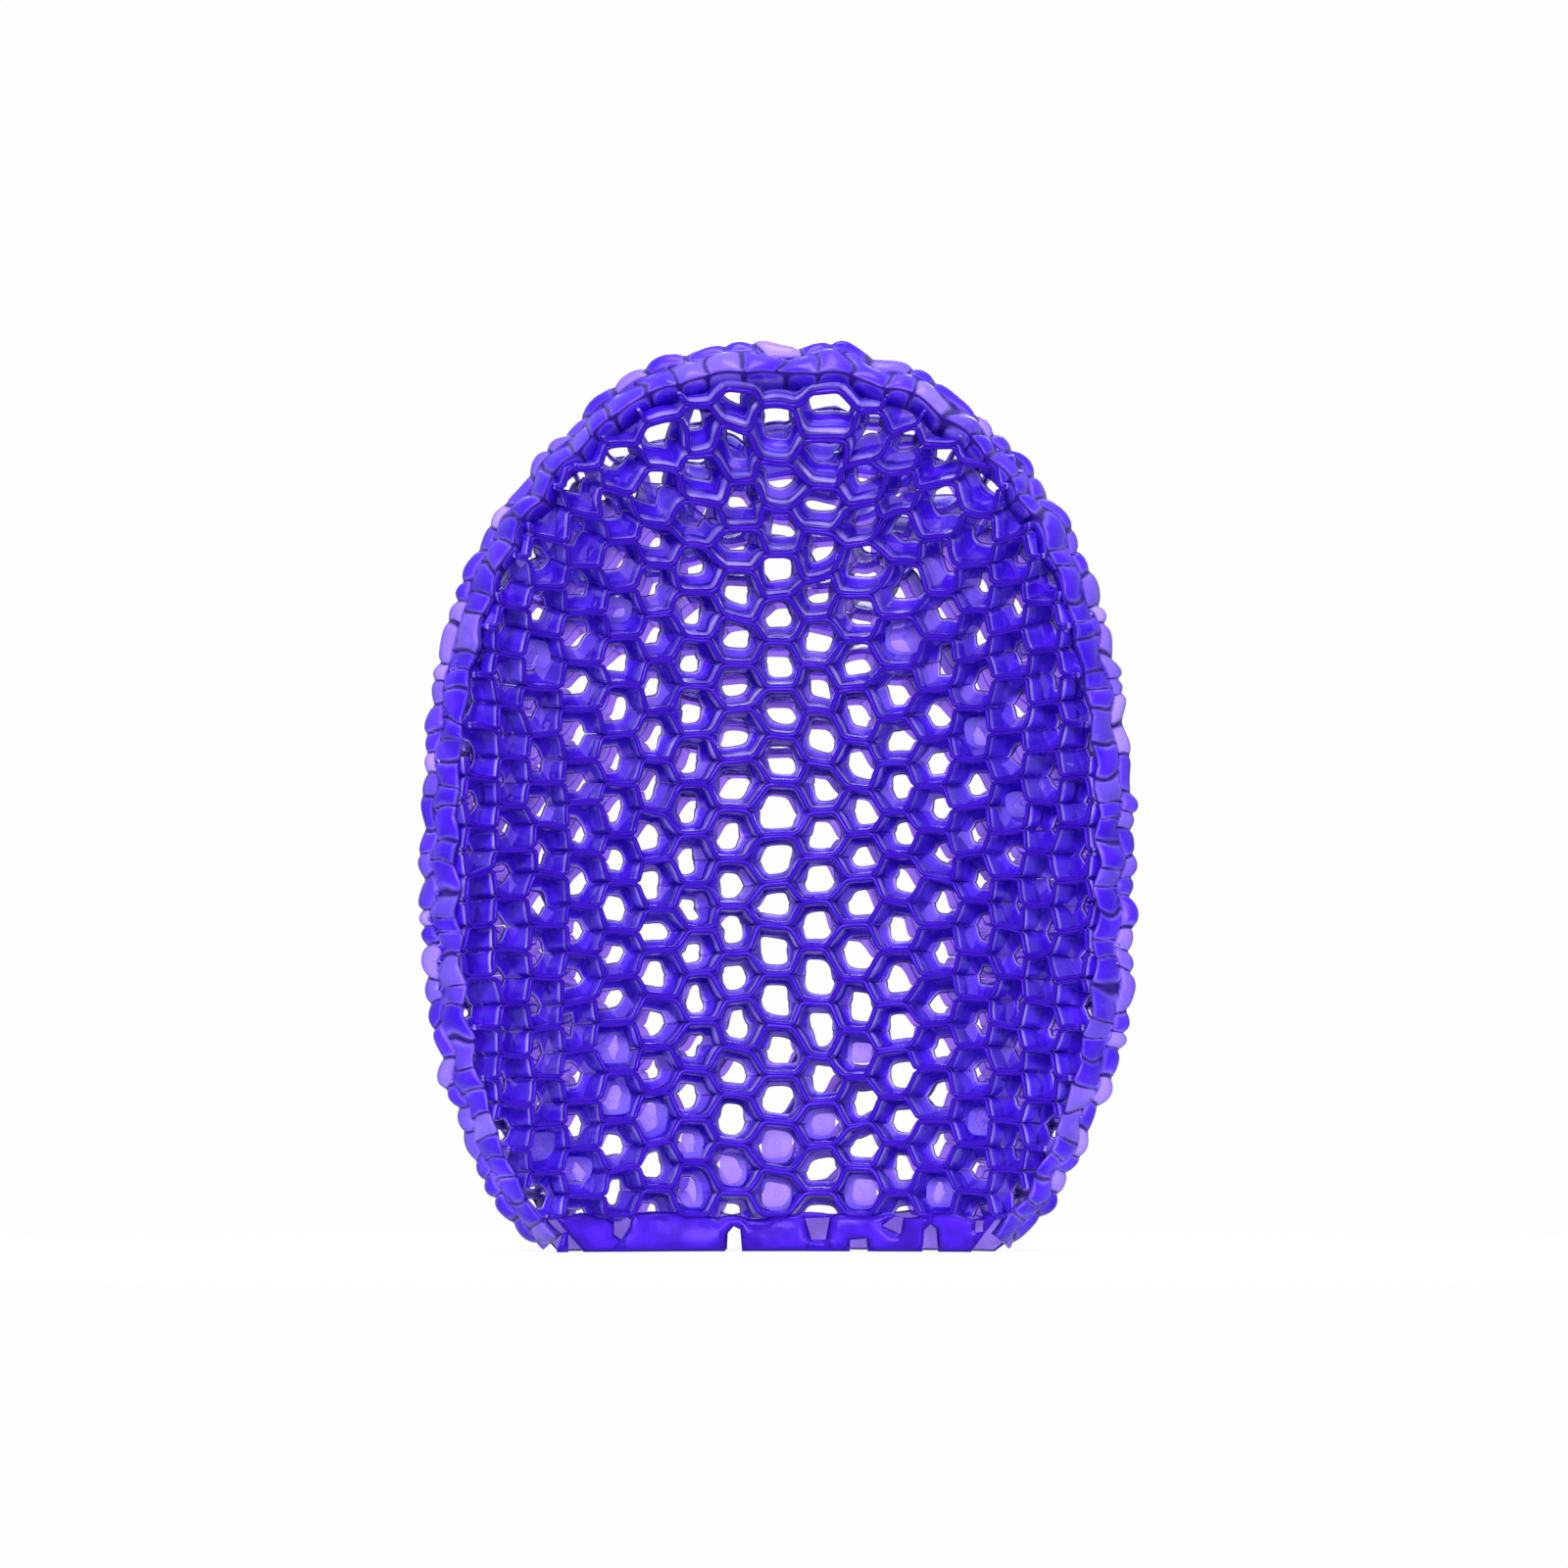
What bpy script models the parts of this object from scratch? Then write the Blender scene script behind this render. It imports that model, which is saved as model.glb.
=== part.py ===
"""Mesh cleaning mitt of bonded film honeycomb.

Two cupped honeycomb panels, the palm panel in front and the back panel behind it,
are fused along their rim and left open at the wrist, where each panel ends in a hem.
Each cell row is two corrugated film ribbons bonded at their inner flats, so that it
is a chain of six-sided cells, and the rows are bonded to each other at their outer
flats. X is the width, Y runs from the palm side to the back, Z runs from the mouth to
the finger end.
"""

import math
from dataclasses import dataclass

import bpy
import numpy as np

MM = 0.001

# Outline seen from the palm side
MITT_HEIGHT = 177.8 * MM
MITT_WIDTH = 139.7 * MM
WIDEST_HEIGHT = 77.7 * MM
LOWER_RADIUS = 93.1 * MM
UPPER_EXPONENT = 2.4
LOWER_EXPONENT = 2.4
SIDE_INSET = 8.67 * MM
CROWN_INSET = 7.45 * MM

# Cup of the palm panel
CUP_DEPTH = 28.0 * MM
CUP_FLOOR_HEIGHT = 30.0 * MM
CUP_CROWN_EXPONENT = 4.0
CUP_MOUTH_SHARE = 0.95
WRIST_SWEEP = 17.0 * MM
WRIST_SWEEP_HEIGHT = 60.0 * MM

# Honeycomb of both panels
CELL_PITCH = 9.525 * MM
CELL_SIDE = 5.3 * MM
PANEL_DEPTH = 9.5 * MM
FILM = 0.5 * MM
BOND_GAP = 0.3 * MM
FAN_RISE = 3.0 * MM
FAN_FADE_HEIGHT = 30.0 * MM
SHORTEST_STUB = 1.0 * MM

# Rim, where the back panel is pressed thin and fused to the ends of the palm panel's film
PALM_EDGE_DEPTH = 8.0 * MM
BACK_EDGE_DEPTH = 1.6 * MM
WELD_GAP = 0.9 * MM
PALM_CRUSH_WIDTH = 14.0 * MM
BACK_CRUSH_WIDTH = 16.0 * MM
PALM_RIM_MARGIN = 0.5 * MM
BACK_RIM_MARGIN = 1.1 * MM
BEAD_THICKNESS = 1.2 * MM
BEAD_START_HEIGHT = 2.6 * MM
BEAD_STATION = 5.0 * MM

# Hand space between the panels
HAND_SPACE = 13.0 * MM

# Hems at the mouth
HEM_HEIGHT = 7.0 * MM
HEM_THICKNESS = 2.2 * MM
HEM_STATION = 5.0 * MM
NOTCH_PLACES = (-40.0 * MM, -7.9 * MM, 15.3 * MM, 28.7 * MM)
NOTCH_WIDTHS = (2.1 * MM, 3.4 * MM, 4.2 * MM, 3.6 * MM)
NOTCH_HEIGHTS = (4.0 * MM, 5.1 * MM, 2.3 * MM, 5.6 * MM)

# Film colours, linear
PALM_COLOUR = (0.070, 0.019, 0.578, 1.0)
BACK_COLOUR = (0.055, 0.015, 0.470, 1.0)
WELD_COLOUR = (0.042, 0.011, 0.360, 1.0)
FILM_ROUGHNESS = 0.32

# Sizes that follow from the ones above
RIM_HALF_WIDTH = MITT_WIDTH / 2 - SIDE_INSET
RIM_TOP = MITT_HEIGHT - CROWN_INSET
UPPER_RADIUS = RIM_TOP - WIDEST_HEIGHT
PANEL_STEP = PALM_EDGE_DEPTH + WELD_GAP
BEAD_DEPTH = PANEL_STEP + BACK_EDGE_DEPTH
COLUMN_PITCH = 1.5 * CELL_SIDE
FLAT_REACH = (CELL_PITCH - FILM - BOND_GAP) / 2
FIRST_ROW = HEM_HEIGHT + BOND_GAP + FILM / 2 + FLAT_REACH
SLOPE_STEP = FILM / 10
TINY = 1e-3 * MM

# Counts
CLIMB_SAMPLES = 721
TRIM_HALVINGS = 20
FEWEST_WALLS = 7


def rim_half_width(z):
    """Half width of the rim line at height z: one superellipse above the widest row, one below."""
    above = np.clip((z - WIDEST_HEIGHT) / UPPER_RADIUS, 0, 1) ** UPPER_EXPONENT
    below = np.clip((WIDEST_HEIGHT - z) / LOWER_RADIUS, 0, 1) ** LOWER_EXPONENT
    wide_above = (1 - above) ** (1 / UPPER_EXPONENT)
    wide_below = (1 - below) ** (1 / LOWER_EXPONENT)
    return RIM_HALF_WIDTH * np.where(z >= WIDEST_HEIGHT, wide_above, wide_below)


def rim_height_above(x):
    """Height of the upper rim line over the place x."""
    share = np.clip(np.abs(x) / RIM_HALF_WIDTH, 0, 1) ** UPPER_EXPONENT
    return WIDEST_HEIGHT + UPPER_RADIUS * (1 - share) ** (1 / UPPER_EXPONENT)


def rim_height_below(x):
    """Height of the lower rim line under the place x."""
    share = np.clip(np.abs(x) / RIM_HALF_WIDTH, 0, 1) ** LOWER_EXPONENT
    return WIDEST_HEIGHT - LOWER_RADIUS * (1 - share) ** (1 / LOWER_EXPONENT)


def cup_depth(z):
    """Depth of the palm panel's middle behind the rim plane.

    Above the cup floor it falls with a power of the height, steepest at the crown, and
    below the floor with a parabola.
    """
    above = np.clip((z - CUP_FLOOR_HEIGHT) / (RIM_TOP - CUP_FLOOR_HEIGHT), 0, 1)
    below = np.clip((CUP_FLOOR_HEIGHT - z) / CUP_FLOOR_HEIGHT, 0, 1)
    deep_below = 1 - (1 - CUP_MOUTH_SHARE) * below ** 2
    return CUP_DEPTH * np.where(z >= CUP_FLOOR_HEIGHT, 1 - above ** CUP_CROWN_EXPONENT, deep_below)


def panel_spacing(z):
    """Distance from the palm panel's front to the back panel's front, along the middle."""
    above = np.clip((z - CUP_FLOOR_HEIGHT) / (RIM_TOP - CUP_FLOOR_HEIGHT), 0, 1)
    open_spacing = PANEL_DEPTH + HAND_SPACE - PANEL_STEP
    return PANEL_STEP + open_spacing * np.sqrt(1 - above ** 2)


def wrist_sweep(z):
    """How far the rim line lies behind the rim plane, near the wrist."""
    return WRIST_SWEEP * np.clip(1 - z / WRIST_SWEEP_HEIGHT, 0, 1) ** 2


def palm_section(z):
    """Half width, middle rise and rim place of the palm panel's arc at height z."""
    half = np.maximum(rim_half_width(z), TINY)
    rim = wrist_sweep(z)
    rise = np.maximum(cup_depth(z) - rim, TINY)
    return half, rise, rim


def back_section(z):
    """The same for the back panel, whose rim line is stepped off the palm panel's along its normal."""
    half, rise, rim = palm_section(z)
    tilt = 2 * np.arctan(rise / half)
    back_half = half + PANEL_STEP * np.sin(tilt)
    back_rim = rim + PANEL_STEP * np.cos(tilt)
    back_rise = np.maximum(cup_depth(z) + panel_spacing(z) - back_rim, TINY)
    return back_half, back_rise, back_rim


@dataclass
class Panel:
    """One cupped sheet: each level section is a circular arc from rim to rim.

    A place on the sheet is (u, v): u is the arc length from the middle, and v is the
    arc length up the middle from the mouth.
    """

    name: str
    section: object
    edge_depth: float
    crush_width: float
    rim_margin: float
    colour: tuple

    def __post_init__(self):
        turn = np.linspace(0, math.pi / 2, CLIMB_SAMPLES)
        self.heights = RIM_TOP * np.sin(turn)
        _, rise, rim = self.section(self.heights)
        steps = np.hypot(np.diff(self.heights), np.diff(rim + rise))
        self.climbs = np.concatenate([[0.0], np.cumsum(steps)])
        self.widest_reach = self.half_arc(np.array([WIDEST_HEIGHT]))[0]

    def height(self, u, v):
        """Height of a place: the climb's own height, with the row ends fanned out from the middle."""
        z = np.interp(v, self.climbs, self.heights)
        fan = (z - MITT_HEIGHT / 2) / (MITT_HEIGHT / 2) * np.clip(z / FAN_FADE_HEIGHT, 0, 1)
        return np.minimum(z + FAN_RISE * fan * (u / self.widest_reach) ** 2, RIM_TOP)

    def half_arc(self, z):
        """Arc length from the middle to the rim line at height z."""
        half, rise, _ = self.section(z)
        return (half ** 2 + rise ** 2) / (2 * rise) * 2 * np.arctan(rise / half)

    def point(self, u, v):
        """Place on the sheet's front face as x, y, z."""
        z = self.height(u, v)
        half, rise, rim = self.section(z)
        radius = (half ** 2 + rise ** 2) / (2 * rise)
        x = radius * np.sin(u / radius)
        y = rim + rise - radius * (1 - np.cos(u / radius))
        return np.stack([x, y, z], axis=-1)

    def normal(self, u, v):
        """Unit normal, pointing to the sheet's rounded back face."""
        over = np.minimum(v + SLOPE_STEP, self.climbs[-1])
        along_u = self.point(u + SLOPE_STEP, v) - self.point(u - SLOPE_STEP, v)
        along_v = self.point(u, over) - self.point(u, over - 2 * SLOPE_STEP)
        normal = np.cross(along_v, along_u)
        return normal / np.linalg.norm(normal, axis=-1, keepdims=True)

    def rim_distance(self, u, v):
        """Distance from a place to the rim line, from its side, upper and lower distances."""
        point = self.point(u, v)
        x = point[..., 0]
        z = point[..., 2]
        beside = np.maximum(self.half_arc(z) - np.abs(u), TINY)
        over = np.maximum(rim_height_above(x) - z, TINY)
        under = np.maximum(z - rim_height_below(x), TINY)
        return (beside ** -2 + over ** -2 + under ** -2) ** -0.5

    def depth(self, u, v):
        """Depth of the cells: full inside the panel, pressed thin towards the rim line."""
        share = np.clip(self.rim_distance(u, v) / self.crush_width, 0, 1)
        ease = share * share * (3 - 2 * share)
        return self.edge_depth + (PANEL_DEPTH - self.edge_depth) * ease

    def reach(self, u, v):
        """Arc length up to which the cells may run at the height of a place."""
        z = self.height(u, v)
        half = np.maximum(rim_half_width(z), TINY)
        raised = rim_half_width(np.minimum(z + self.rim_margin, RIM_TOP))
        lowered = rim_half_width(np.maximum(z - self.rim_margin, 0))
        inner = np.maximum(np.minimum(raised, lowered) - self.rim_margin, 0)
        return self.half_arc(z) * inner / half

    def holds(self, place):
        """Whether a place lies inside the part of the panel that the cells fill."""
        u = np.array([place[0]])
        v = np.array([place[1]])
        inside = abs(place[0]) <= self.reach(u, v)[0]
        return bool(inside and self.height(u, v)[0] < RIM_TOP - self.rim_margin)


def row_walls(panel, middle):
    """Centre lines of one cell row's walls, in order from side to side, before they are trimmed."""
    count = math.ceil(panel.widest_reach / (2 * COLUMN_PITCH)) + 1
    walls = []
    for number in range(-count, count + 1):
        centre = 2 * COLUMN_PITCH * number
        left = (centre - CELL_SIDE, middle)
        right = (centre + CELL_SIDE, middle)
        flats = []
        for side in (1, -1):
            level = middle + side * FLAT_REACH
            flats.append(((centre - CELL_SIDE / 2, level), (centre + CELL_SIDE / 2, level)))
        for flat_left, flat_right in flats:
            walls += [(left, flat_left), (flat_left, flat_right), (flat_right, right)]
        walls.append((right, (centre + 2 * COLUMN_PITCH - CELL_SIDE, middle)))
    return walls


def trimmed_wall(panel, wall):
    """The part of a wall that lies inside the panel, or None."""
    start, end = wall
    start_in = panel.holds(start)
    end_in = panel.holds(end)
    if start_in and end_in:
        return wall
    if not start_in and not end_in:
        return None
    kept, lost = (start, end) if start_in else (end, start)
    low, high = 0.0, 1.0
    for _ in range(TRIM_HALVINGS):
        share = (low + high) / 2
        place = tuple(a + (b - a) * share for a, b in zip(kept, lost))
        low, high = (share, high) if panel.holds(place) else (low, share)
    tip = tuple(a + (b - a) * low for a, b in zip(kept, lost))
    if math.dist(kept, tip) < SHORTEST_STUB:
        return None
    return (kept, tip) if start_in else (tip, kept)


def place_key(place):
    """A key that two walls share where they meet."""
    return tuple(round(value / TINY) for value in place)


def largest_group(walls):
    """The walls that hang together, in the largest such group."""
    groups = []
    for wall in walls:
        keys = {place_key(wall[0]), place_key(wall[1])}
        joined = [group for group in groups if group[0] & keys]
        groups = [group for group in groups if not group[0] & keys]
        joined_keys = keys.union(*[group[0] for group in joined])
        joined_walls = sum([group[1] for group in joined], [wall])
        groups.append((joined_keys, joined_walls))
    return max(groups, key=lambda group: len(group[1]))[1] if groups else []


def corner_places(node, directions):
    """Corners between neighbouring walls at a node, one on the left of each wall direction."""
    if len(directions) == 1:
        dx, dy = directions[0]
        return [(node[0] - dy * FILM / 2, node[1] + dx * FILM / 2)]
    corners = []
    for number, (ax, ay) in enumerate(directions):
        bx, by = directions[(number + 1) % len(directions)]
        spread = FILM / 2 / (ax * by - ay * bx)
        corners.append((node[0] + spread * (ax + bx), node[1] + spread * (ay + by)))
    return corners


def row_outline(walls):
    """Flat polygons, counter-clockwise, that give the walls the film's thickness."""
    nodes = {}
    for start, end in walls:
        length = math.dist(start, end)
        direction = ((end[0] - start[0]) / length, (end[1] - start[1]) / length)
        nodes.setdefault(place_key(start), (start, []))[1].append(direction)
        nodes.setdefault(place_key(end), (end, []))[1].append((-direction[0], -direction[1]))
    places = []
    left_corner = {}
    right_corner = {}
    polygons = []
    for key, (node, directions) in nodes.items():
        directions.sort(key=lambda item: math.atan2(item[1], item[0]))
        first = len(places)
        places += corner_places(node, directions)
        count = len(directions)
        for number, direction in enumerate(directions):
            left_corner[key, direction] = first + number
            right_corner[key, direction] = first + (number - 1) % count
        if count == 1:
            dx, dy = directions[0]
            places.append((node[0] + dy * FILM / 2, node[1] - dx * FILM / 2))
            right_corner[key, directions[0]] = first + 1
        if count == 3:
            polygons.append([first, first + 1, first + 2])
    for start, end in walls:
        length = math.dist(start, end)
        direction = ((end[0] - start[0]) / length, (end[1] - start[1]) / length)
        behind = (-direction[0], -direction[1])
        near = place_key(start)
        far = place_key(end)
        polygons.append([right_corner[near, direction], left_corner[far, behind],
                         right_corner[far, behind], left_corner[near, direction]])
    return np.array(places), polygons


def raised_solid(front, back, polygons):
    """Closed solid between a front and a back copy of flat polygons that share their edges.

    A side face starts at its front corner further from the middle, so that both faces of
    a film wall fold along the same diagonal and the wall keeps its thickness.
    """
    count = len(front)
    faces = [list(polygon) for polygon in polygons]
    faces += [[count + corner for corner in reversed(polygon)] for polygon in polygons]
    edges = set()
    for polygon in polygons:
        edges.update(zip(polygon, polygon[1:] + polygon[:1]))
    for start, end in sorted(edges):
        if (end, start) in edges:
            continue
        if abs(front[end, 0]) > abs(front[start, 0]):
            faces.append([end, start, count + start, count + end])
        else:
            faces.append([start, count + start, count + end, end])
    return np.concatenate([front, back]), faces


def cell_row(panel, middle):
    """One chain of cells across a panel, or None where the panel is too narrow for a whole cell."""
    walls = [trimmed_wall(panel, wall) for wall in row_walls(panel, middle)]
    walls = largest_group([wall for wall in walls if wall])
    if len(walls) < FEWEST_WALLS:
        return None
    places, polygons = row_outline(walls)
    u, v = places[:, 0], places[:, 1]
    front = panel.point(u, v)
    back = front + panel.normal(u, v) * panel.depth(u, v)[:, None]
    return raised_solid(front, back, polygons)


def cell_rows(panel):
    """All the cell rows of a panel, from the hem up."""
    rows = []
    middle = FIRST_ROW
    while middle < panel.climbs[-1]:
        row = cell_row(panel, middle)
        if row:
            rows.append(row)
        middle += CELL_PITCH
    return rows


def hem_stations(reach, notched):
    """Places along the hem, with the edges of the notches among them, and each stretch's foot."""
    cuts = []
    if notched:
        for centre, width, height in zip(NOTCH_PLACES, NOTCH_WIDTHS, NOTCH_HEIGHTS):
            cuts.append((centre - width / 2, centre + width / 2, height))
    count = math.ceil(2 * reach / HEM_STATION)
    places = [reach * (2 * number / count - 1) for number in range(count + 1)]
    places = [place for place in places if all(abs(place - (low + high) / 2) > high - low
                                               for low, high, _ in cuts)]
    places = sorted(places + [edge for low, high, _ in cuts for edge in (low, high)])
    feet = []
    for left, right in zip(places, places[1:]):
        middle = (left + right) / 2
        feet.append(sum(height for low, high, height in cuts if low < middle < high))
    return places, feet


def hem(panel, notched):
    """The pressed film band along a panel's mouth, level underneath, with the notches cut in it."""
    base = np.zeros(1)
    reach = panel.reach(base, base)[0] - panel.rim_margin
    stations, feet = hem_stations(reach, notched)
    levels = []
    for number in range(len(stations)):
        around = feet[max(number - 1, 0):number + 1]
        levels.append(sorted(set(around)) + [HEM_HEIGHT])
    places = []
    index = {}
    for number, station in enumerate(stations):
        for level in levels[number]:
            wide = panel.reach(base, base + level)[0] - panel.rim_margin
            index[number, level] = len(places)
            places.append((station / reach * wide, level))
    polygons = []
    for number, foot in enumerate(feet):
        rising = [index[number + 1, level] for level in levels[number + 1] if level >= foot]
        falling = [index[number, level] for level in reversed(levels[number]) if level >= foot]
        polygons.append(rising + falling)
    places = np.array(places)
    u, v = places[:, 0], places[:, 1]
    front = panel.point(u, v)
    across = panel.normal(u, v)
    across[:, 2] *= v / HEM_HEIGHT
    across /= np.linalg.norm(across, axis=-1, keepdims=True)
    return raised_solid(front, front + across * HEM_THICKNESS, polygons)


def rim_heights():
    """Heights of the rim bead's stations on one side, from the mouth to the crown."""
    lower = math.ceil((WIDEST_HEIGHT - BEAD_START_HEIGHT) / BEAD_STATION)
    upper = math.ceil((UPPER_RADIUS + RIM_HALF_WIDTH) / BEAD_STATION)
    straight = np.linspace(BEAD_START_HEIGHT, WIDEST_HEIGHT, lower, endpoint=False)
    turn = np.linspace(0, math.pi / 2, upper)
    curved = WIDEST_HEIGHT + UPPER_RADIUS * np.sin(turn) ** (2 / UPPER_EXPONENT)
    return np.concatenate([straight, curved])


def sheet_depth_at(x, z):
    """How far behind the rim plane the palm panel's front lies at x, z."""
    half, rise, rim = palm_section(z)
    radius = (half ** 2 + rise ** 2) / (2 * rise)
    return rim + rise - radius + np.sqrt(np.maximum(radius ** 2 - x ** 2, 0))


def rim_bead():
    """The fused bead round the rim: a flat band square to the palm panel, along the rim line."""
    z = np.minimum(rim_heights(), RIM_TOP - TINY)
    x = rim_half_width(z)
    line = np.stack([x, wrist_sweep(z), z], axis=-1)
    along = np.gradient(line, axis=0)
    along[-1] = (-1, 0, 0)
    slope_x = (sheet_depth_at(x, z) - sheet_depth_at(x - SLOPE_STEP, z)) / SLOPE_STEP
    slope_z = (sheet_depth_at(x, z) - sheet_depth_at(x, z - SLOPE_STEP)) / SLOPE_STEP
    slope_x[-1] = 0
    across = np.stack([-slope_x, np.ones_like(x), -slope_z], axis=-1)
    across /= np.linalg.norm(across, axis=-1, keepdims=True)
    outward = np.cross(across, along)
    outward /= np.linalg.norm(outward, axis=-1, keepdims=True)
    ring = np.stack([line,
                     line + outward * BEAD_THICKNESS,
                     line + outward * BEAD_THICKNESS + across * BEAD_DEPTH,
                     line + across * BEAD_DEPTH], axis=1)
    ring[-1, :, 0] = 0
    left = ring * (-1, 1, 1)
    loops = np.concatenate([left[:-1], ring[::-1]])
    faces = [[0, 1, 2, 3]]
    for number in range(len(loops) - 1):
        first = 4 * number
        for side in range(4):
            after = (side + 1) % 4
            faces.append([first + after, first + side, first + 4 + side, first + 4 + after])
    last = 4 * (len(loops) - 1)
    faces.append([last + 3, last + 2, last + 1, last])
    return loops.reshape(-1, 3), faces


def film_material(name, colour):
    """Soft moulded film, tinted through."""
    material = bpy.data.materials.new(name)
    material.use_nodes = True
    shader = material.node_tree.nodes["Principled BSDF"]
    shader.inputs["Base Color"].default_value = colour
    shader.inputs["Roughness"].default_value = FILM_ROUGHNESS
    shader.inputs["Metallic"].default_value = 0.0
    material.diffuse_color = colour
    return material


def add_piece(name, points, faces, colour):
    """One named object with its own mesh and material."""
    mesh = bpy.data.meshes.new(name)
    mesh.from_pydata([tuple(point) for point in points], [], faces)
    mesh.update()
    piece = bpy.data.objects.new(name, mesh)
    piece.data.materials.append(film_material(name + "_film", colour))
    bpy.context.collection.objects.link(piece)
    return piece


def mitt_pieces():
    """Every piece as name, points, faces and colour, before the mitt is centred."""
    palm = Panel("palm", palm_section, PALM_EDGE_DEPTH, PALM_CRUSH_WIDTH, PALM_RIM_MARGIN, PALM_COLOUR)
    back = Panel("back", back_section, BACK_EDGE_DEPTH, BACK_CRUSH_WIDTH, BACK_RIM_MARGIN, BACK_COLOUR)
    pieces = []
    for panel, notched in ((palm, True), (back, False)):
        for number, (points, faces) in enumerate(cell_rows(panel), start=1):
            pieces.append((f"{panel.name}_cell_row_{number:02d}", points, faces, panel.colour))
        points, faces = hem(panel, notched)
        pieces.append((f"{panel.name}_hem", points, faces, WELD_COLOUR))
    points, faces = rim_bead()
    pieces.append(("rim_weld_bead", points, faces, WELD_COLOUR))
    return pieces


def main():
    """Clear the scene and build the mitt, centred over the mouth."""
    for old in list(bpy.data.objects):
        bpy.data.objects.remove(old, do_unlink=True)
    pieces = mitt_pieces()
    everything = np.concatenate([points for _, points, _, _ in pieces])
    middle = (everything[:, 1].min() + everything[:, 1].max()) / 2
    for name, points, faces, colour in pieces:
        add_piece(name, points - (0, middle, 0), faces, colour)


main()
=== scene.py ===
"""Looks of the mesh cleaning mitt: two cupped honeycomb panels of blown polyurethane film.

Every cell row is two corrugated film ribbons, bonded at their flats. A ribbon is one
profile, a thin wall with a fused bead at its near edge and a drawn-out foot at its far one,
carried along a corrugated path on the cupped panel. Thin veils of film are left across some
cells. The hems are pressed film, and the weld round the rim is a strip of small film pillows.
"""

import logging
import math
from dataclasses import dataclass, field, replace
from enum import Enum, IntEnum

import bmesh
import bpy
import numpy as np
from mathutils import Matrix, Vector
from mathutils.geometry import delaunay_2d_cdt


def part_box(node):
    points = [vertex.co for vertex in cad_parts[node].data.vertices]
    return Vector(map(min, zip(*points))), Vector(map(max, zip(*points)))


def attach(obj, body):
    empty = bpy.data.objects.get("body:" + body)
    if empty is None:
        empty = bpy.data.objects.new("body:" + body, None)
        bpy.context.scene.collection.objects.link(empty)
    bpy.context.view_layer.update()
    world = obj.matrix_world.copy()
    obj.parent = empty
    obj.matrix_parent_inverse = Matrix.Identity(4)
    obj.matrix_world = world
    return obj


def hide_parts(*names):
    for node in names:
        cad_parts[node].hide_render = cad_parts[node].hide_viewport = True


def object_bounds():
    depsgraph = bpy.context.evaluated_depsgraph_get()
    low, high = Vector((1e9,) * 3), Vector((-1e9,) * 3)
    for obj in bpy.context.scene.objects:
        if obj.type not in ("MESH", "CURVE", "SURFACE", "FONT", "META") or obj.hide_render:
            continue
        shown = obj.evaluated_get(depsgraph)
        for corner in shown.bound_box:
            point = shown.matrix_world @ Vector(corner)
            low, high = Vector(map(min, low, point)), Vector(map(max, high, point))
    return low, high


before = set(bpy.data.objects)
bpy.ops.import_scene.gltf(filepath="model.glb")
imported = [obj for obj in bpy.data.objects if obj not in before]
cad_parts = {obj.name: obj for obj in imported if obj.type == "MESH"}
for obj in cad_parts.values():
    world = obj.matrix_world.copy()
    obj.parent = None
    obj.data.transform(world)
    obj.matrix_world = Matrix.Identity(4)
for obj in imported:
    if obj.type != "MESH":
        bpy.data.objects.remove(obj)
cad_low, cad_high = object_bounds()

MM = 0.001
# The least length that is divided by, and a distance from any fold that leaves no mark.
TINY = 0.001 * MM
FAR = 1.0
BODY = "root"

log = logging.getLogger("mitt")


class Side(Enum):
    """The two panels, by the name that their nodes and slots begin with."""

    PALM = "palm"
    BACK = "back"


class PanelDraw(IntEnum):
    """What a panel's random draws are for, each with its own offset of the panel's seed."""

    DRIFT_ACROSS = 0
    JITTER_ACROSS = 1
    DRIFT_UP = 2
    JITTER_UP = 3
    NEAR_EDGE = 4
    FAR_EDGE = 5
    HEM_TOP = 8
    HEM_SWELL = 9
    WINDOWS = 20


class RimDraw(IntEnum):
    """What the rim strip's random draws are for, each with its own offset of the strip's seed."""

    PILLOWS = 0
    LIFT = 1
    WANDER = 2
    SLANT = 3
    COLUMN_WAVE = 7


def linear(hex_colour: str) -> tuple[float, float, float, float]:
    """Turns an sRGB hex colour to linear light.

    Args:
        hex_colour: the colour as #RRGGBB.

    Returns:
        Red, green, blue and an alpha of 1.
    """
    levels = [int(hex_colour[i:i + 2], 16) / 255 for i in (1, 3, 5)]
    red, green, blue = (v / 12.92 if v <= 0.04045 else ((v + 0.055) / 1.055) ** 2.4 for v in levels)
    return (red, green, blue, 1.0)


def add_node(tree: bpy.types.NodeTree, kind: str, inputs: dict | None = None, **settings) -> bpy.types.Node:
    """Adds a shader node with its settings, socket values and links.

    Args:
        tree: the node tree.
        kind: the node's type name after ShaderNode.
        inputs: a value or an output socket for each input, by name or number.
        settings: properties of the node itself.

    Returns:
        The new node.
    """
    node = tree.nodes.new("ShaderNode" + kind)
    for name, value in settings.items():
        setattr(node, name, value)
    for name, value in (inputs or {}).items():
        if isinstance(value, bpy.types.NodeSocket):
            tree.links.new(value, node.inputs[name])
        else:
            node.inputs[name].default_value = value
    return node


def new_piece(name: str, points: np.ndarray, faces: list | np.ndarray,
              smooth: bool = True) -> bpy.types.Object:
    """Puts points and faces into a mesh object at the origin.

    Args:
        name: the object's name.
        points: n by 3 places, in metres.
        faces: corner numbers of each face.
        smooth: whether the faces are shaded smooth.

    Returns:
        The linked object.
    """
    mesh = bpy.data.meshes.new(name)
    mesh.from_pydata(points.tolist(), [], [list(face) for face in faces])
    mesh.polygons.foreach_set("use_smooth", np.full(len(mesh.polygons), smooth))
    mesh.update()
    piece = bpy.data.objects.new(name, mesh)
    bpy.context.scene.collection.objects.link(piece)
    return piece


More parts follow.
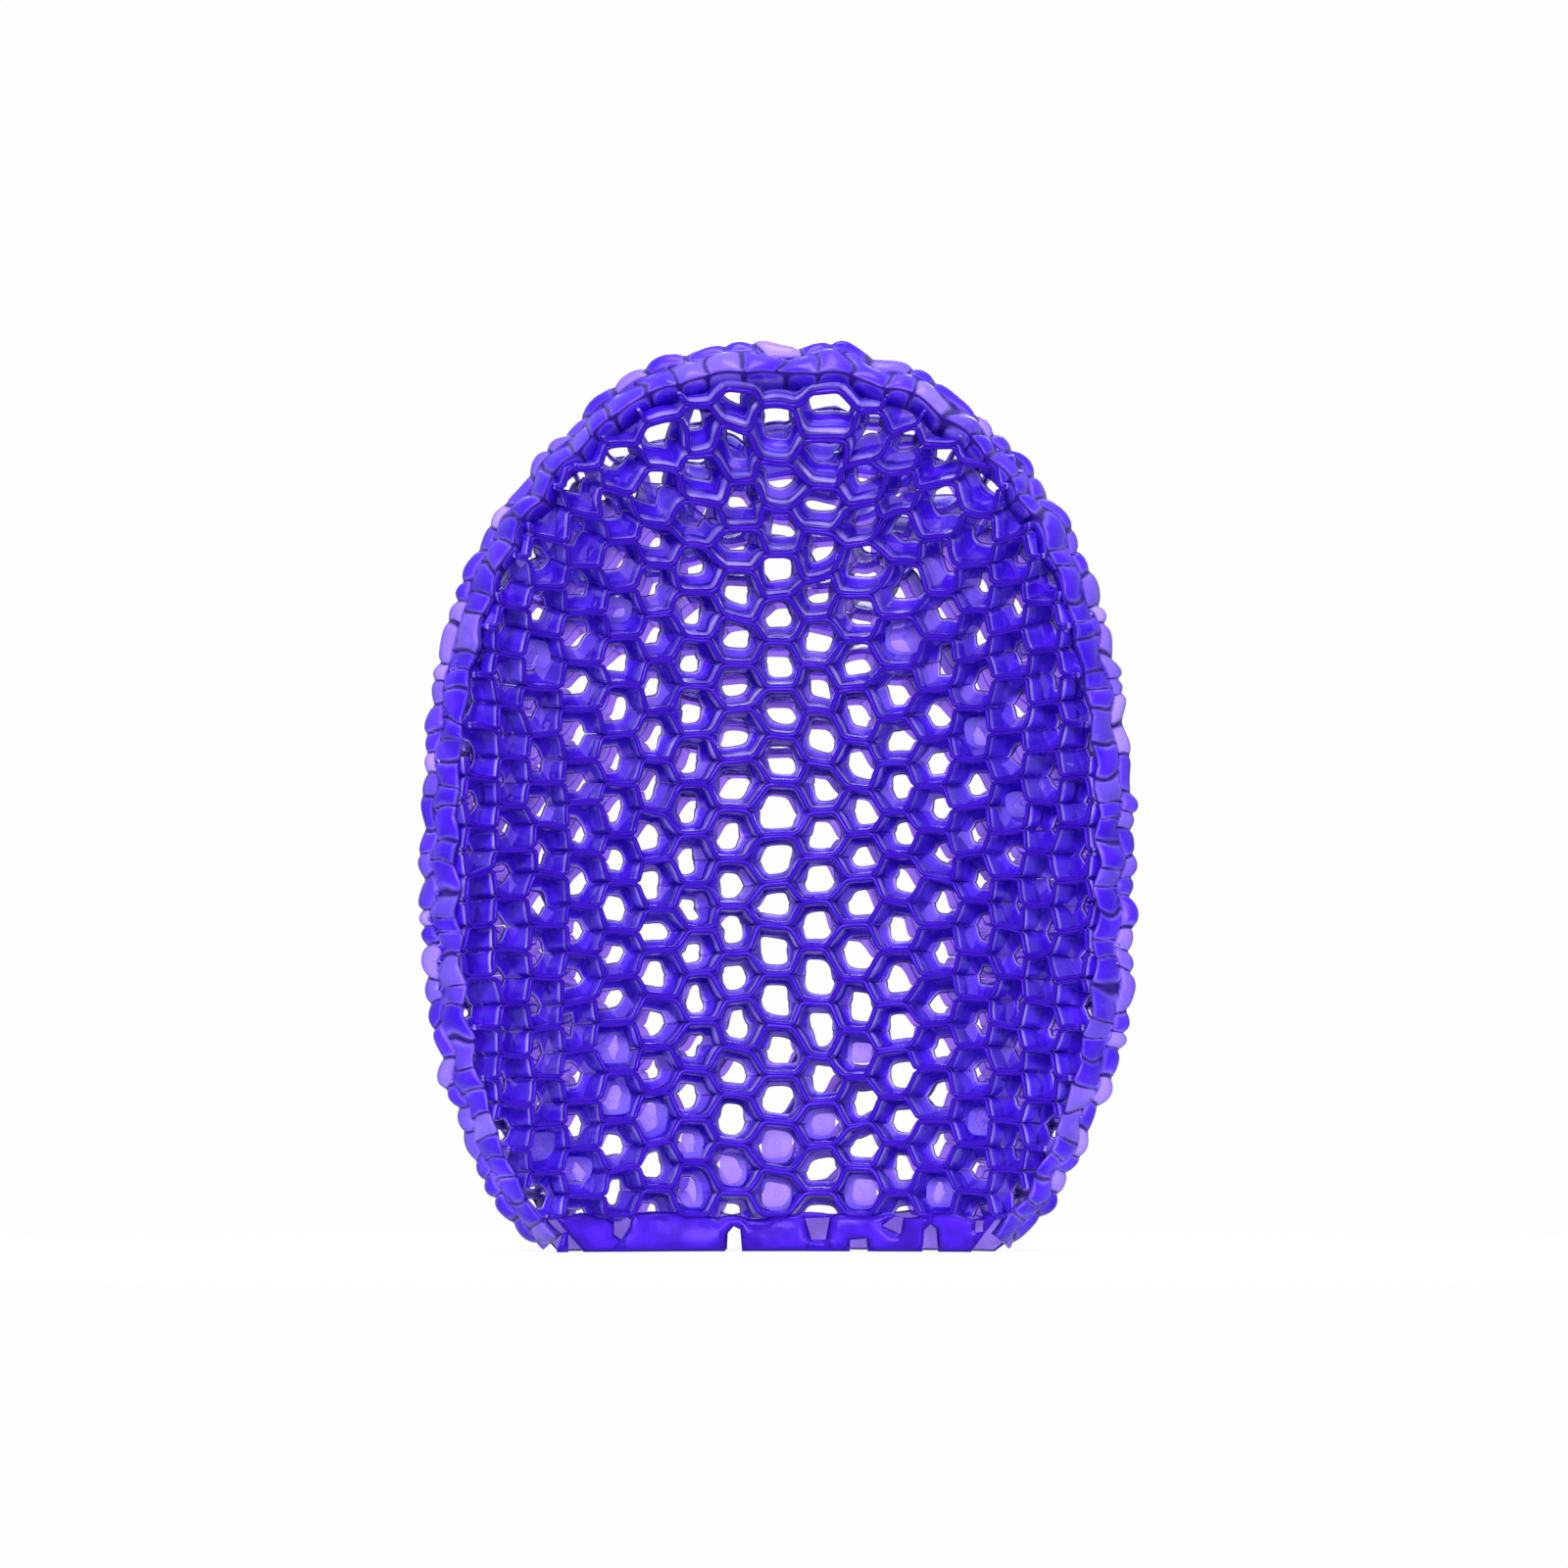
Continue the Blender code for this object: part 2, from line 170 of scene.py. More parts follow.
def dress(piece: bpy.types.Object, film: bpy.types.Material, marks: dict) -> None:
    """Gives a piece its film, and the marks that the film's material reads.

    Args:
        piece: the mesh object.
        film: the material.
        marks: one number for each point, by the attribute's name.
    """
    for name, values in marks.items():
        layer = piece.data.attributes.new(name, "FLOAT", "POINT")
        layer.data.foreach_set("value", np.ascontiguousarray(values, dtype=np.float32))
    piece.data.materials.append(film)


@dataclass(frozen=True)
class FilmFinish:
    """Blown polyurethane film, heat-bonded.

    It is tinted through, so that one layer against the light is pale and a stack of layers
    is deep and saturated. The cut edges are fused to glossy beads, painted darker than the
    faces as painted shade. A dark groove line of painted shade follows each bead, and next to
    it a pale band of painted highlight is laid on the film. The creases at the cells' corners
    carry painted shade. A slow mottle comes from blowing, and its fine grain is drawn coarse
    enough to show.
    """

    name: str
    face: str = "#4216D4"
    soft: str = "#5224EC"
    # The bead colour is painted darker than the face, a painted shade that offsets the beads' fuller light;
    # groove is the colour of painted shade lines.
    bead: str = "#2B0A98"
    groove: str = "#17045F"
    # glow is the colour of the painted highlight band beside each groove.
    glow: str = "#C9B4FF"
    thin: str = "#C0A4FF"
    tint: str = "#D2BCFF"
    shine_tint: str = "#9470FF"
    # Rim distances where the bead's painted shade gives way to the groove's painted shade line.
    bead_end: float = 0.85 * MM
    groove_shade_at: float = 1.15 * MM
    # Rim distances over which the painted highlight band comes in and then fades to the face.
    painted_highlight_start: float = 1.60 * MM
    painted_highlight_end: float = 2.9 * MM
    roughness: tuple = (0.16, 0.34)
    shine: float = 0.42
    refraction: float = 1.5
    least_painted_highlight: float = 0.4
    thin_cover: float = 0.30
    full_cover: float = 0.97
    deep_layers: float = 0.5
    # Width of the painted shade along the cells' corners, and the share of it at full darkness.
    crease_shade_width: float = 0.6 * MM
    crease_shade_core_share: float = 0.25
    mottle_size: float = 7.0 * MM
    mottle_detail: float = 2.0
    mottle_range: tuple = (0.3, 0.7)
    soft_range: tuple = (0.40, 0.68)
    grain_size: float = 1.6 * MM
    grain_detail: float = 3.0
    grain_height: float = 0.09 * MM
    grain_strength: float = 0.5

    def blend(self, tree: bpy.types.NodeTree, factor: bpy.types.NodeSocket, near: object,
              far: object) -> bpy.types.NodeSocket:
        """Mixes two colours.

        Args:
            tree: the material's node tree.
            factor: how much of the far colour there is.
            near: the first colour or its socket.
            far: the second colour or its socket.

        Returns:
            The mixed colour.
        """
        return add_node(tree, "Mix", {0: factor, 6: near, 7: far}, data_type="RGBA").outputs[2]

    def step(self, tree: bpy.types.NodeTree, value: bpy.types.NodeSocket, low: float,
             high: float) -> bpy.types.NodeSocket:
        """A smooth step of a value from 0 at the low place to 1 at the high one."""
        return add_node(tree, "MapRange", {"Value": value, "From Min": low, "From Max": high},
                        interpolation_type="SMOOTHSTEP").outputs[0]

    def material(self) -> bpy.types.Material:
        """Builds the film's material from the rim, crease and layers attributes.

        The distance from the cut edge gives bead, groove, pale band and face in turn: the bead is
        painted darker as painted shade, the groove is a painted shade line and the pale band is a
        painted highlight. The crease distance lays painted shade at the cells' corners. The
        layers value runs from one thin film at 0 to a deep stack at 1.

        Returns:
            The material.
        """
        material = bpy.data.materials.new(self.name)
        material.use_nodes = True
        tree = material.node_tree
        tree.nodes.clear()
        place = add_node(tree, "TexCoord").outputs["Object"]
        rim, crease, layers = (add_node(tree, "Attribute", attribute_name=name).outputs["Fac"]
                               for name in ("rim", "crease", "layers"))
        mottle = add_node(tree, "TexNoise", {"Vector": place, "Scale": 1 / self.mottle_size,
                                             "Detail": self.mottle_detail}).outputs["Fac"]
        grain = add_node(tree, "TexNoise", {"Vector": place, "Scale": 1 / self.grain_size,
                                            "Detail": self.grain_detail}).outputs["Fac"]
        soften = self.step(tree, mottle, *self.soft_range)
        body = self.blend(tree, soften, linear(self.face), linear(self.soft))
        body = self.blend(tree, self.step(tree, layers, 0.0, self.deep_layers), linear(self.thin), body)
        # Painted highlight: a pale band beside the groove, brighter where the mottle is soft.
        lit = add_node(tree, "MapRange", {"Value": soften, "To Min": self.least_painted_highlight, "To Max": 1.0})
        painted_highlight = self.blend(tree, lit.outputs[0], body, linear(self.glow))
        lined = self.blend(tree, self.step(tree, rim, self.painted_highlight_start, self.painted_highlight_end), painted_highlight, body)
        # Painted shade: a dark groove line just past the bead, and the bead itself painted darker than the
        # face.
        past_groove = self.step(tree, rim, self.groove_shade_at, self.painted_highlight_start)
        lined = self.blend(tree, past_groove, linear(self.groove), lined)
        past_bead = self.step(tree, rim, self.bead_end, self.groove_shade_at)
        lined = self.blend(tree, past_bead, linear(self.bead), lined)
        # Painted shade along the creases where the cells' walls meet.
        painted_shade_line = self.step(tree, crease, self.crease_shade_width, self.crease_shade_core_share * self.crease_shade_width)
        colour = self.blend(tree, painted_shade_line, lined, linear(self.groove))
        rough = add_node(tree, "MapRange", {"Value": mottle, "From Min": self.mottle_range[0],
                                            "From Max": self.mottle_range[1], "To Min": self.roughness[0],
                                            "To Max": self.roughness[1]})
        bump = add_node(tree, "Bump", {"Height": grain, "Distance": self.grain_height,
                                       "Strength": self.grain_strength})
        film = add_node(tree, "BsdfPrincipled", {"Base Color": colour, "Roughness": rough.outputs[0],
                                                 "IOR": self.refraction, "Specular IOR Level": self.shine,
                                                 "Specular Tint": linear(self.shine_tint),
                                                 "Normal": bump.outputs[0]})
        clear = add_node(tree, "BsdfTransparent", {"Color": linear(self.tint)})
        covered = add_node(tree, "Math", {0: self.step(tree, rim, self.painted_highlight_start, self.bead_end), 1: painted_shade_line},
                           operation="MAXIMUM")
        covered = add_node(tree, "Math", {0: covered.outputs[0], 1: layers}, operation="MAXIMUM")
        cover = add_node(tree, "MapRange", {"Value": covered.outputs[0], "To Min": self.thin_cover,
                                            "To Max": self.full_cover})
        mixed = add_node(tree, "MixShader", {0: cover.outputs[0], 1: clear.outputs[0], 2: film.outputs[0]})
        add_node(tree, "OutputMaterial", {"Surface": mixed.outputs[0]})
        return material


@dataclass(frozen=True)
class FilmProfile:
    """Cross-section of a ribbon: a thin wall, a fused bead on one edge and a drawn-out foot on the other.

    The foot reaches over the cell openings, by its own length on each side, which makes the
    openings smaller and squarer than the cells. Ridges along the wall reach less far. The
    marks are the rim distances that the foot's and the ridges' points are painted with:
    painted shade lines and painted highlight bands along the foot's edge and along the ridges.
    """

    wall: float = 0.52 * MM
    bead: float = 0.64 * MM
    bead_turns: tuple = (50.0, 100.0, 150.0)
    neck_bead_share: float = 2.1
    foot_rise: float = 3.0 * MM
    foot_reach_shares: tuple = (0.35, 0.6, 0.84, 1.0, 0.92)
    foot_levels: tuple = (-1.3 * MM, -0.7 * MM, -1.15 * MM, -0.6 * MM, -0.04 * MM)
    # Rim distances that paint the foot: painted shade lines at its edge and a painted highlight band on its
    # lip.
    foot_marks: tuple = (3.4 * MM, 3.0 * MM, 1.9 * MM, 1.0 * MM, 0.9 * MM)
    ridge_depth_shares: tuple = (0.27, 0.35, 0.40, 0.47, 0.56, 0.62)
    ridge_reach_shares: tuple = (0.02, 0.26, 0.28, 0.06, 0.42, 0.10)
    # Rim distances that paint each ridge with painted shade lines and painted highlight bands.
    ridge_marks: tuple = (1.2 * MM, 2.1 * MM, 1.2 * MM, 3.2 * MM, 1.9 * MM, 3.2 * MM)
    plain_level_share: float = 0.5

    def half(self) -> np.ndarray:
        """One side of the section, from the bead's tip to the middle of the foot's sole.

        The bead is a circle's sine and one minus cosine, the wall runs straight, and the
        foot is a list of shares of its reach.

        Returns:
            Rows of six: across, share of the foot's reach across, share of the depth, depth
            offset, the rim distance that the foot or ridge is painted with, and the ridge's
            share of the foot's reach.
        """
        half = self.wall / 2
        rows = [(0, 0, 0, 0, 0, 0)]
        for turn in np.radians(self.bead_turns):
            wide = self.bead * math.sin(turn)
            if turn > math.pi / 2:
                wide = max(wide, half)
            rows.append((wide, 0, 0, self.bead * (1 - math.cos(turn)), 0, 0))
        rows.append((half, 0, 0, self.neck_bead_share * self.bead, 0, 0))
        for depth, share, mark in zip(self.ridge_depth_shares, self.ridge_reach_shares, self.ridge_marks):
            rows.append((half, 0, depth, 0, mark, share))
        rows.append((half, 0, 1, -self.foot_rise, 0, 0))
        for share, level, mark in zip(self.foot_reach_shares, self.foot_levels, self.foot_marks):
            rows.append((half, share, 1, level, mark, 0))
        rows.append((0, 0, 1, 0, self.foot_marks[0], 0))
        return np.array(rows, dtype=float)

    def plain(self) -> "FilmProfile":
        """The same section with a flatter foot that carries no painted groove.

        Returns:
            The plainer profile.
        """
        marks = (self.foot_marks[0],) * len(self.foot_marks)
        levels = tuple(self.plain_level_share * level for level in self.foot_levels)
        return replace(self, foot_marks=marks, foot_levels=levels)


@dataclass(frozen=True)
class MittShape:
    """Outline and cup of the mitt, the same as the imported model's, and the film's lean at the crown."""

    height: float = 177.8 * MM
    width: float = 139.7 * MM
    widest_height: float = 77.7 * MM
    lower_radius: float = 93.1 * MM
    upper_exponent: float = 2.4
    lower_exponent: float = 2.4
    side_inset: float = 8.67 * MM
    crown_inset: float = 7.45 * MM
    cup_depth: float = 28.0 * MM
    floor_height: float = 30.0 * MM
    crown_exponent: float = 4.0
    mouth_share: float = 0.95
    wrist_sweep: float = 17.0 * MM
    sweep_height: float = 60.0 * MM
    panel_depth: float = 9.5 * MM
    panel_step: float = 8.9 * MM
    hand_space: float = 13.0 * MM
    weld_lip: float = 0.91 * MM
    crown_lean: float = 1.4 * MM
    lean_start: float = 95.0 * MM

    @property
    def rim_half_width(self) -> float:
        """Half width of the rim line at the widest row."""
        return self.width / 2 - self.side_inset

    @property
    def rim_top(self) -> float:
        """Height of the rim line's crown."""
        return self.height - self.crown_inset

    @property
    def upper_radius(self) -> float:
        """Height of the rim line above the widest row."""
        return self.rim_top - self.widest_height

    @property
    def rim_plane(self) -> float:
        """Y of the plane that the rim line lies in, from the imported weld."""
        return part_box("rim_weld_bead")[0].y + self.weld_lip

    def crown_share(self, z: np.ndarray) -> np.ndarray:
        """Share of the way from the cup's floor height, at 0, to the rim's crown, at 1."""
        return (z - self.floor_height) / (self.rim_top - self.floor_height)

    def half_width(self, z: np.ndarray) -> np.ndarray:
        """Half width of the rim line: a superellipse above the widest row and one below it.

        Args:
            z: heights.

        Returns:
            Half widths.
        """
        above = np.clip((z - self.widest_height) / self.upper_radius, 0, 1) ** self.upper_exponent
        below = np.clip((self.widest_height - z) / self.lower_radius, 0, 1) ** self.lower_exponent
        wide = np.where(z >= self.widest_height, (1 - above) ** (1 / self.upper_exponent),
                        (1 - below) ** (1 / self.lower_exponent))
        return self.rim_half_width * wide

    def height_above(self, x: np.ndarray) -> np.ndarray:
        """Height of the upper rim line over x, by its superellipse."""
        share = np.clip(np.abs(x) / self.rim_half_width, 0, 1) ** self.upper_exponent
        return self.widest_height + self.upper_radius * (1 - share) ** (1 / self.upper_exponent)

    def height_below(self, x: np.ndarray) -> np.ndarray:
        """Height of the lower rim line under x, by its superellipse."""
        share = np.clip(np.abs(x) / self.rim_half_width, 0, 1) ** self.lower_exponent
        return self.widest_height - self.lower_radius * (1 - share) ** (1 / self.lower_exponent)

    def depth_at(self, z: np.ndarray) -> np.ndarray:
        """Depth of the cup's middle behind the rim plane.

        It is full at the floor height, falls by a power of the crown share above it, and by a
        parabola to the mouth's share below it.

        Args:
            z: heights.

        Returns:
            Depths.
        """
        above = np.clip(self.crown_share(z), 0, 1)
        below = np.clip((self.floor_height - z) / self.floor_height, 0, 1)
        return self.cup_depth * np.where(z >= self.floor_height, 1 - above ** self.crown_exponent,
                                         1 - (1 - self.mouth_share) * below ** 2)

    def spacing_at(self, z: np.ndarray) -> np.ndarray:
        """Distance between the two panels' front faces along the middle: a quarter ellipse over height.

        Args:
            z: heights.

        Returns:
            Distances.
        """
        above = np.clip(self.crown_share(z), 0, 1)
        open_spacing = self.panel_depth + self.hand_space - self.panel_step
        return self.panel_step + open_spacing * np.sqrt(1 - above ** 2)

    def sweep_at(self, z: np.ndarray) -> np.ndarray:
        """How far the rim line lies behind the rim plane: a parabola near the wrist."""
        return self.wrist_sweep * np.clip(1 - z / self.sweep_height, 0, 1) ** 2

    def lean_at(self, z: np.ndarray) -> np.ndarray:
        """How far the film leans to the right towards the crown: a parabola."""
        return self.crown_lean * np.clip((z - self.lean_start) / (self.height - self.lean_start), 0, 1) ** 2

    def section(self, side: Side, z: np.ndarray) -> tuple[np.ndarray, np.ndarray, np.ndarray]:
        """Half width, rise and rim place of a panel's level arc.

        The back panel's rim is the palm panel's, moved one panel step square to its arc's end.

        Args:
            side: the panel.
            z: heights.

        Returns:
            Half width, rise of the middle behind the rim, and the rim's place behind the rim plane.
        """
        half = np.maximum(self.half_width(z), TINY)
        rim = self.sweep_at(z)
        rise = np.maximum(self.depth_at(z) - rim, TINY)
        if side is Side.PALM:
            return half, rise, rim
        tilt = 2 * np.arctan(rise / half)
        back_half = half + self.panel_step * np.sin(tilt)
        back_rim = rim + self.panel_step * np.cos(tilt)
        back_rise = np.maximum(self.depth_at(z) + self.spacing_at(z) - back_rim, TINY)
        return back_half, back_rise, back_rim


def wavy(u: np.ndarray, v: np.ndarray, length: float, seed: int, waves: int = 9,
         spread: tuple = (0.7, 1.5)) -> np.ndarray:
    """Smooth seeded unevenness: the mean of plane sine waves with random headings and phases.

    Args:
        u: places across.
        v: places up.
        length: the mean wave length.
        seed: the seed of the random draws.
        waves: how many sine waves are added.
        spread: the shortest and longest wave, as shares of the length.

    Returns:
        Values mostly between -1 and 1.
    """
    draw = np.random.default_rng(seed)
    heading = draw.uniform(0, math.tau, waves)
    phase = draw.uniform(0, math.tau, waves)
    rate = math.tau / (length * draw.uniform(*spread, waves))
    along = u[..., None] * np.cos(heading) + v[..., None] * np.sin(heading)
    return np.sin(along * rate + phase).sum(axis=-1) * math.sqrt(2 / waves)


def smooth_step(values: np.ndarray) -> np.ndarray:
    """Eases values from 0 to 1: three times the square less twice the cube, held outside."""
    share = np.clip(values, 0, 1)
    return share * share * (3 - 2 * share)


@dataclass(frozen=True)
class Veil:
    """A thin film left across a cell: a closed lens, pale at its top and deeper at its foot.

    The rings are shares of the cell's window, from the edge to the middle. Most veils lie
    near the mouth, and their share fades upwards.
    """

    share: float = 0.6
    least_share: float = 0.05
    fade: float = 13.0 * MM
    column_reach: int = 7
    samples: int = 20
    ring_shares: tuple = (1.25, 1.22, 0.6, 0.03)
    thickness: float = 0.12 * MM
    front_share: float = 0.35
    span_share: float = 0.5
    tilt_share: float = 0.35
    layers: float = 0.02
    layers_spread: float = 0.16
    layers_fall: float = 0.12
    mark: float = 4.0 * MM
    seed_factor: int = 7


@dataclass
class HoneycombPanel:
    """One cupped honeycomb panel, as rows of corrugated film ribbons.

    A place on the panel is (u, v): u is the arc length from the middle and v the arc length
    up the middle from the mouth. A window is what a cell's foot leaves open, and its sizes are
    those of the middle cells. Layers tell how deep the film looks, and waves are mean lengths.
    """

    side: Side
    shape: MittShape
    profile: FilmProfile
    film: bpy.types.Material
    seed: int
    edge_depth: float
    crush_width: float
    rim_margin: float
    veil: Veil | None = None
    foot_share: float = 1.0
    foot_fade: float = 6.0 * MM
    least_foot_share: float = 0.6
    ridge: float = 1.0
    ridge_spread: float = 26.0 * MM
    bead_spread: float = 34.0 * MM
    side_thinning: float = 0.75
    cell_pitch: float = 9.525 * MM
    cell_side: float = 5.3 * MM
    window_half_width: float = 2.4 * MM
    window_half_height: float = 3.0 * MM
    window_exponent: float = 3.4
    window_spread: float = 0.13
    window_shift: float = 0.3 * MM
    window_rows: int = 60
    window_columns: int = 81
    rows_below: int = 2
    left_widening: float = 0.36
    right_widening: float = 0.10
    lowering: float = 0.27
    pinch: float = 0.42
    pinch_place: float = -15.0 * MM
    pinch_spread: float = 10.0 * MM
    narrow_end: float = 42.0 * MM
    squareness: float = 0.7
    square_start: float = 16.0 * MM
    square_end: float = 46.0 * MM
    side_fineness: float = 0.3
    cad_film: float = 0.5 * MM
    bond_gap: float = 0.3 * MM
    hem_height: float = 7.0 * MM
    fan_rise: float = 3.0 * MM
    fan_fade: float = 30.0 * MM
    climb_samples: int = 721
    wall_samples: int = 6
    corner_ease: float = 0.16
    probe: float = 0.05 * MM
    drift: float = 0.45 * MM
    drift_waves: tuple = (34.0 * MM, 40.0 * MM)
    jitter: float = 0.24 * MM
    jitter_waves: tuple = (11.0 * MM, 12.0 * MM)
    crown_drift: float = 1.0 * MM
    crown_jitter: float = 2.0
    crown_start: float = 120.0 * MM
    calm_width: float = 8.0 * MM
    calm_share: float = 0.15
    calm_mouth: float = 6.0 * MM
    bow: float = 0.34 * MM
    scallop: float = 0.5 * MM
    scallop_reach_share: float = 0.45
    depth_unevenness: float = 0.4 * MM
    near_edge_wave: float = 16.0 * MM
    far_edge_wave: float = 9.0 * MM
    front_layers: float = 0.58
    back_layers: float = 0.58
    tone_spread: float = 0.22
    seed_factor: int = 1000
    heights: np.ndarray = field(init=False)
    climbs: np.ndarray = field(init=False)
    widest_reach: float = field(init=False)

    def __post_init__(self) -> None:
        """Measures the climb up the panel's middle against its height."""
        self.heights = self.shape.rim_top * np.sin(np.linspace(0, math.pi / 2, self.climb_samples))
        _, rise, rim = self.shape.section(self.side, self.heights)
        steps = np.hypot(np.diff(self.heights), np.diff(rim + rise))
        self.climbs = np.concatenate([[0.0], np.cumsum(steps)])
        self.widest_reach = self.half_arc(np.array([self.shape.widest_height]))[0]

    @property
    def column_pitch(self) -> float:
        """Distance between neighbouring columns of cells: a hexagon's side and a half."""
        return 1.5 * self.cell_side

    @property
    def flat_growth(self) -> float:
        """How far each end of a fully square cell's flats moves out: a quarter of a side."""
        return self.cell_side / 4

    @property
    def flat_reach(self) -> float:
        """Distance from a row's middle to its outer flats, so that rows touch film to film."""
        return (self.cell_pitch - self.profile.wall) / 2

    @property
    def first_row(self) -> float:
        """Place of the first row's middle over the mouth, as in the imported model."""
        cad_reach = (self.cell_pitch - self.cad_film - self.bond_gap) / 2
        return self.hem_height + self.bond_gap + self.cad_film / 2 + cad_reach

    def height(self, u: np.ndarray, v: np.ndarray) -> np.ndarray:
        """Height of a place: the climb's own height, with the row ends fanned out by a parabola.

        Args:
            u: places across.
            v: places up.

        Returns:
            Heights, no more than the crown's.
        """
        z = np.interp(v, self.climbs, self.heights)
        middle = self.shape.height / 2
        fan = (z - middle) / middle * np.clip(z / self.fan_fade, 0, 1)
        return np.minimum(z + self.fan_rise * fan * (u / self.widest_reach) ** 2, self.shape.rim_top)

    def half_arc(self, z: np.ndarray) -> np.ndarray:
        """Arc length from the middle to the rim line at height z: radius times angle."""
        half, rise, _ = self.shape.section(self.side, z)
        return (half ** 2 + rise ** 2) / (2 * rise) * 2 * np.arctan(rise / half)

    def point(self, u: np.ndarray, v: np.ndarray) -> np.ndarray:
        """Place on the panel's front face: a level circular arc at the place's height.

        Args:
            u: places across.
            v: places up.

        Returns:
            x, y and z.
        """
        z = self.height(u, v)
        half, rise, rim = self.shape.section(self.side, z)
        radius = (half ** 2 + rise ** 2) / (2 * rise)
        x = radius * np.sin(u / radius)
        y = self.shape.rim_plane + rim + rise - radius * (1 - np.cos(u / radius))
        return np.stack([x + self.shape.lean_at(z), y, z], axis=-1)

    def tangents(self, u: np.ndarray, v: np.ndarray) -> tuple[np.ndarray, np.ndarray, np.ndarray]:
        """Directions of the panel's surface, by differences over a small step.

        Args:
            u: places across.
            v: places up.

        Returns:
            Unit directions across, up and out of the panel's back.
        """
        top = np.minimum(v + self.probe, self.climbs[-1])
        across = self.point(u + self.probe, v) - self.point(u - self.probe, v)
        up = self.point(u, top) - self.point(u, top - 2 * self.probe)
        out = np.cross(up, across)
        return tuple(d / np.linalg.norm(d, axis=-1, keepdims=True) for d in (across, up, out))

    def rim_distance(self, u: np.ndarray, v: np.ndarray) -> np.ndarray:
        """Distance to the rim line: the side, upper and lower distances joined by inverse squares.

        Args:
            u: places across.
            v: places up.

        Returns:
            Distances.
        """
        x, _, z = np.moveaxis(self.point(u, v), -1, 0)
        x = x - self.shape.lean_at(z)
        beside = np.maximum(self.half_arc(z) - np.abs(u), TINY)
        over = np.maximum(self.shape.height_above(x) - z, TINY)
        under = np.maximum(z - self.shape.height_below(x), TINY)
        return (beside ** -2 + over ** -2 + under ** -2) ** -0.5

    def depth(self, u: np.ndarray, v: np.ndarray) -> np.ndarray:
        """Depth of the film: full inside the panel and eased down to the edge depth at the rim line."""
        ease = smooth_step(self.rim_distance(u, v) / self.crush_width)
        return self.edge_depth + (self.shape.panel_depth - self.edge_depth) * ease

    def inside(self, u: np.ndarray, v: np.ndarray) -> np.ndarray:
        """Whether places lie within the rim line by a margin, taken one margin above and below them.

        Args:
            u: places across.
            v: places up.

        Returns:
            One truth value for each place.
        """
        z = self.height(u, v)
        half = np.maximum(self.shape.half_width(z), TINY)
        raised = self.shape.half_width(np.minimum(z + self.rim_margin, self.shape.rim_top))
        lowered = self.shape.half_width(np.maximum(z - self.rim_margin, 0))
        inner = np.maximum(np.minimum(raised, lowered) - self.rim_margin, 0)
        reach = self.half_arc(z) * inner / half
        return (np.abs(u) <= reach) & (z < self.shape.rim_top - self.rim_margin)

    def longest_run(self, u: np.ndarray, v: np.ndarray) -> slice | None:
        """Finds the longest stretch of a path that lies inside the rim line.

        Args:
            u: places across.
            v: places up.

        Returns:
            The stretch, or None if it is shorter than two walls.
        """
        inside = self.inside(u, v)
        changes = np.flatnonzero(np.diff(np.concatenate([[0], inside.astype(int), [0]])))
        starts, ends = changes[::2], changes[1::2]
        if not len(starts):
            return None
        longest = np.argmax(ends - starts)
        if ends[longest] - starts[longest] < 2 * self.wall_samples:
            return None
        return slice(starts[longest], ends[longest])

    def square_at(self, u: np.ndarray) -> np.ndarray:
        """How square the cells are: hexagons in the middle, drawn out to near rectangles at the sides."""
        return self.squareness * smooth_step((np.abs(u) - self.square_start)
                                             / (self.square_end - self.square_start))

    def corrugation(self, upper: bool) -> tuple[np.ndarray, np.ndarray, np.ndarray, np.ndarray]:
        """One ribbon's path about its row's middle, over more than the panel's width.

        The path is a trapezoid wave: outer flat, slope, bonded inner flat, slope. A square
        cell's flats are longer by half a side and its slopes upright. Samples near a corner
        are pulled to its inner side, which rounds it. The path ends where its last outer flat begins.

        Args:
            upper: whether it is the row's upper ribbon.

        Returns:
            u, v from the row's middle, distance to the nearest corner, and the wall's number.
        """
        count = math.ceil(self.widest_reach / (2 * self.column_pitch)) + 1
        bond = self.profile.wall / 2
        side = self.cell_side
        corner_u = np.array([-side / 2, side / 2, side, 2 * side])
        corner_v = np.array([self.flat_reach, self.flat_reach, bond, bond])
        longer = np.array([-1, 1, -1, 1]) * self.flat_growth
        start = np.arange(-count, count + 1)[:, None] * 2 * self.column_pitch
        corners_u = start + corner_u
        corners_u = (corners_u + longer * self.square_at(corners_u)).ravel()[:1 - len(corner_u)]
        corners_v = np.append(np.tile(corner_v, 2 * count), self.flat_reach)
        shares = np.linspace(0, 1, self.wall_samples, endpoint=False) + 0.5 / self.wall_samples
        u = (corners_u[:-1, None] + np.diff(corners_u)[:, None] * shares).ravel()
        v = (corners_v[:-1, None] + np.diff(corners_v)[:, None] * shares).ravel()
        wall = np.repeat(np.arange(len(corners_u) - 1), self.wall_samples)
        crease = np.tile(np.minimum(shares, 1 - shares), len(corners_u) - 1) * side
        smooth_v = v.copy()
        smooth_v[1:-1] += self.corner_ease * (v[2:] + v[:-2] - 2 * v[1:-1])
        return u, smooth_v if upper else -smooth_v, crease, wall

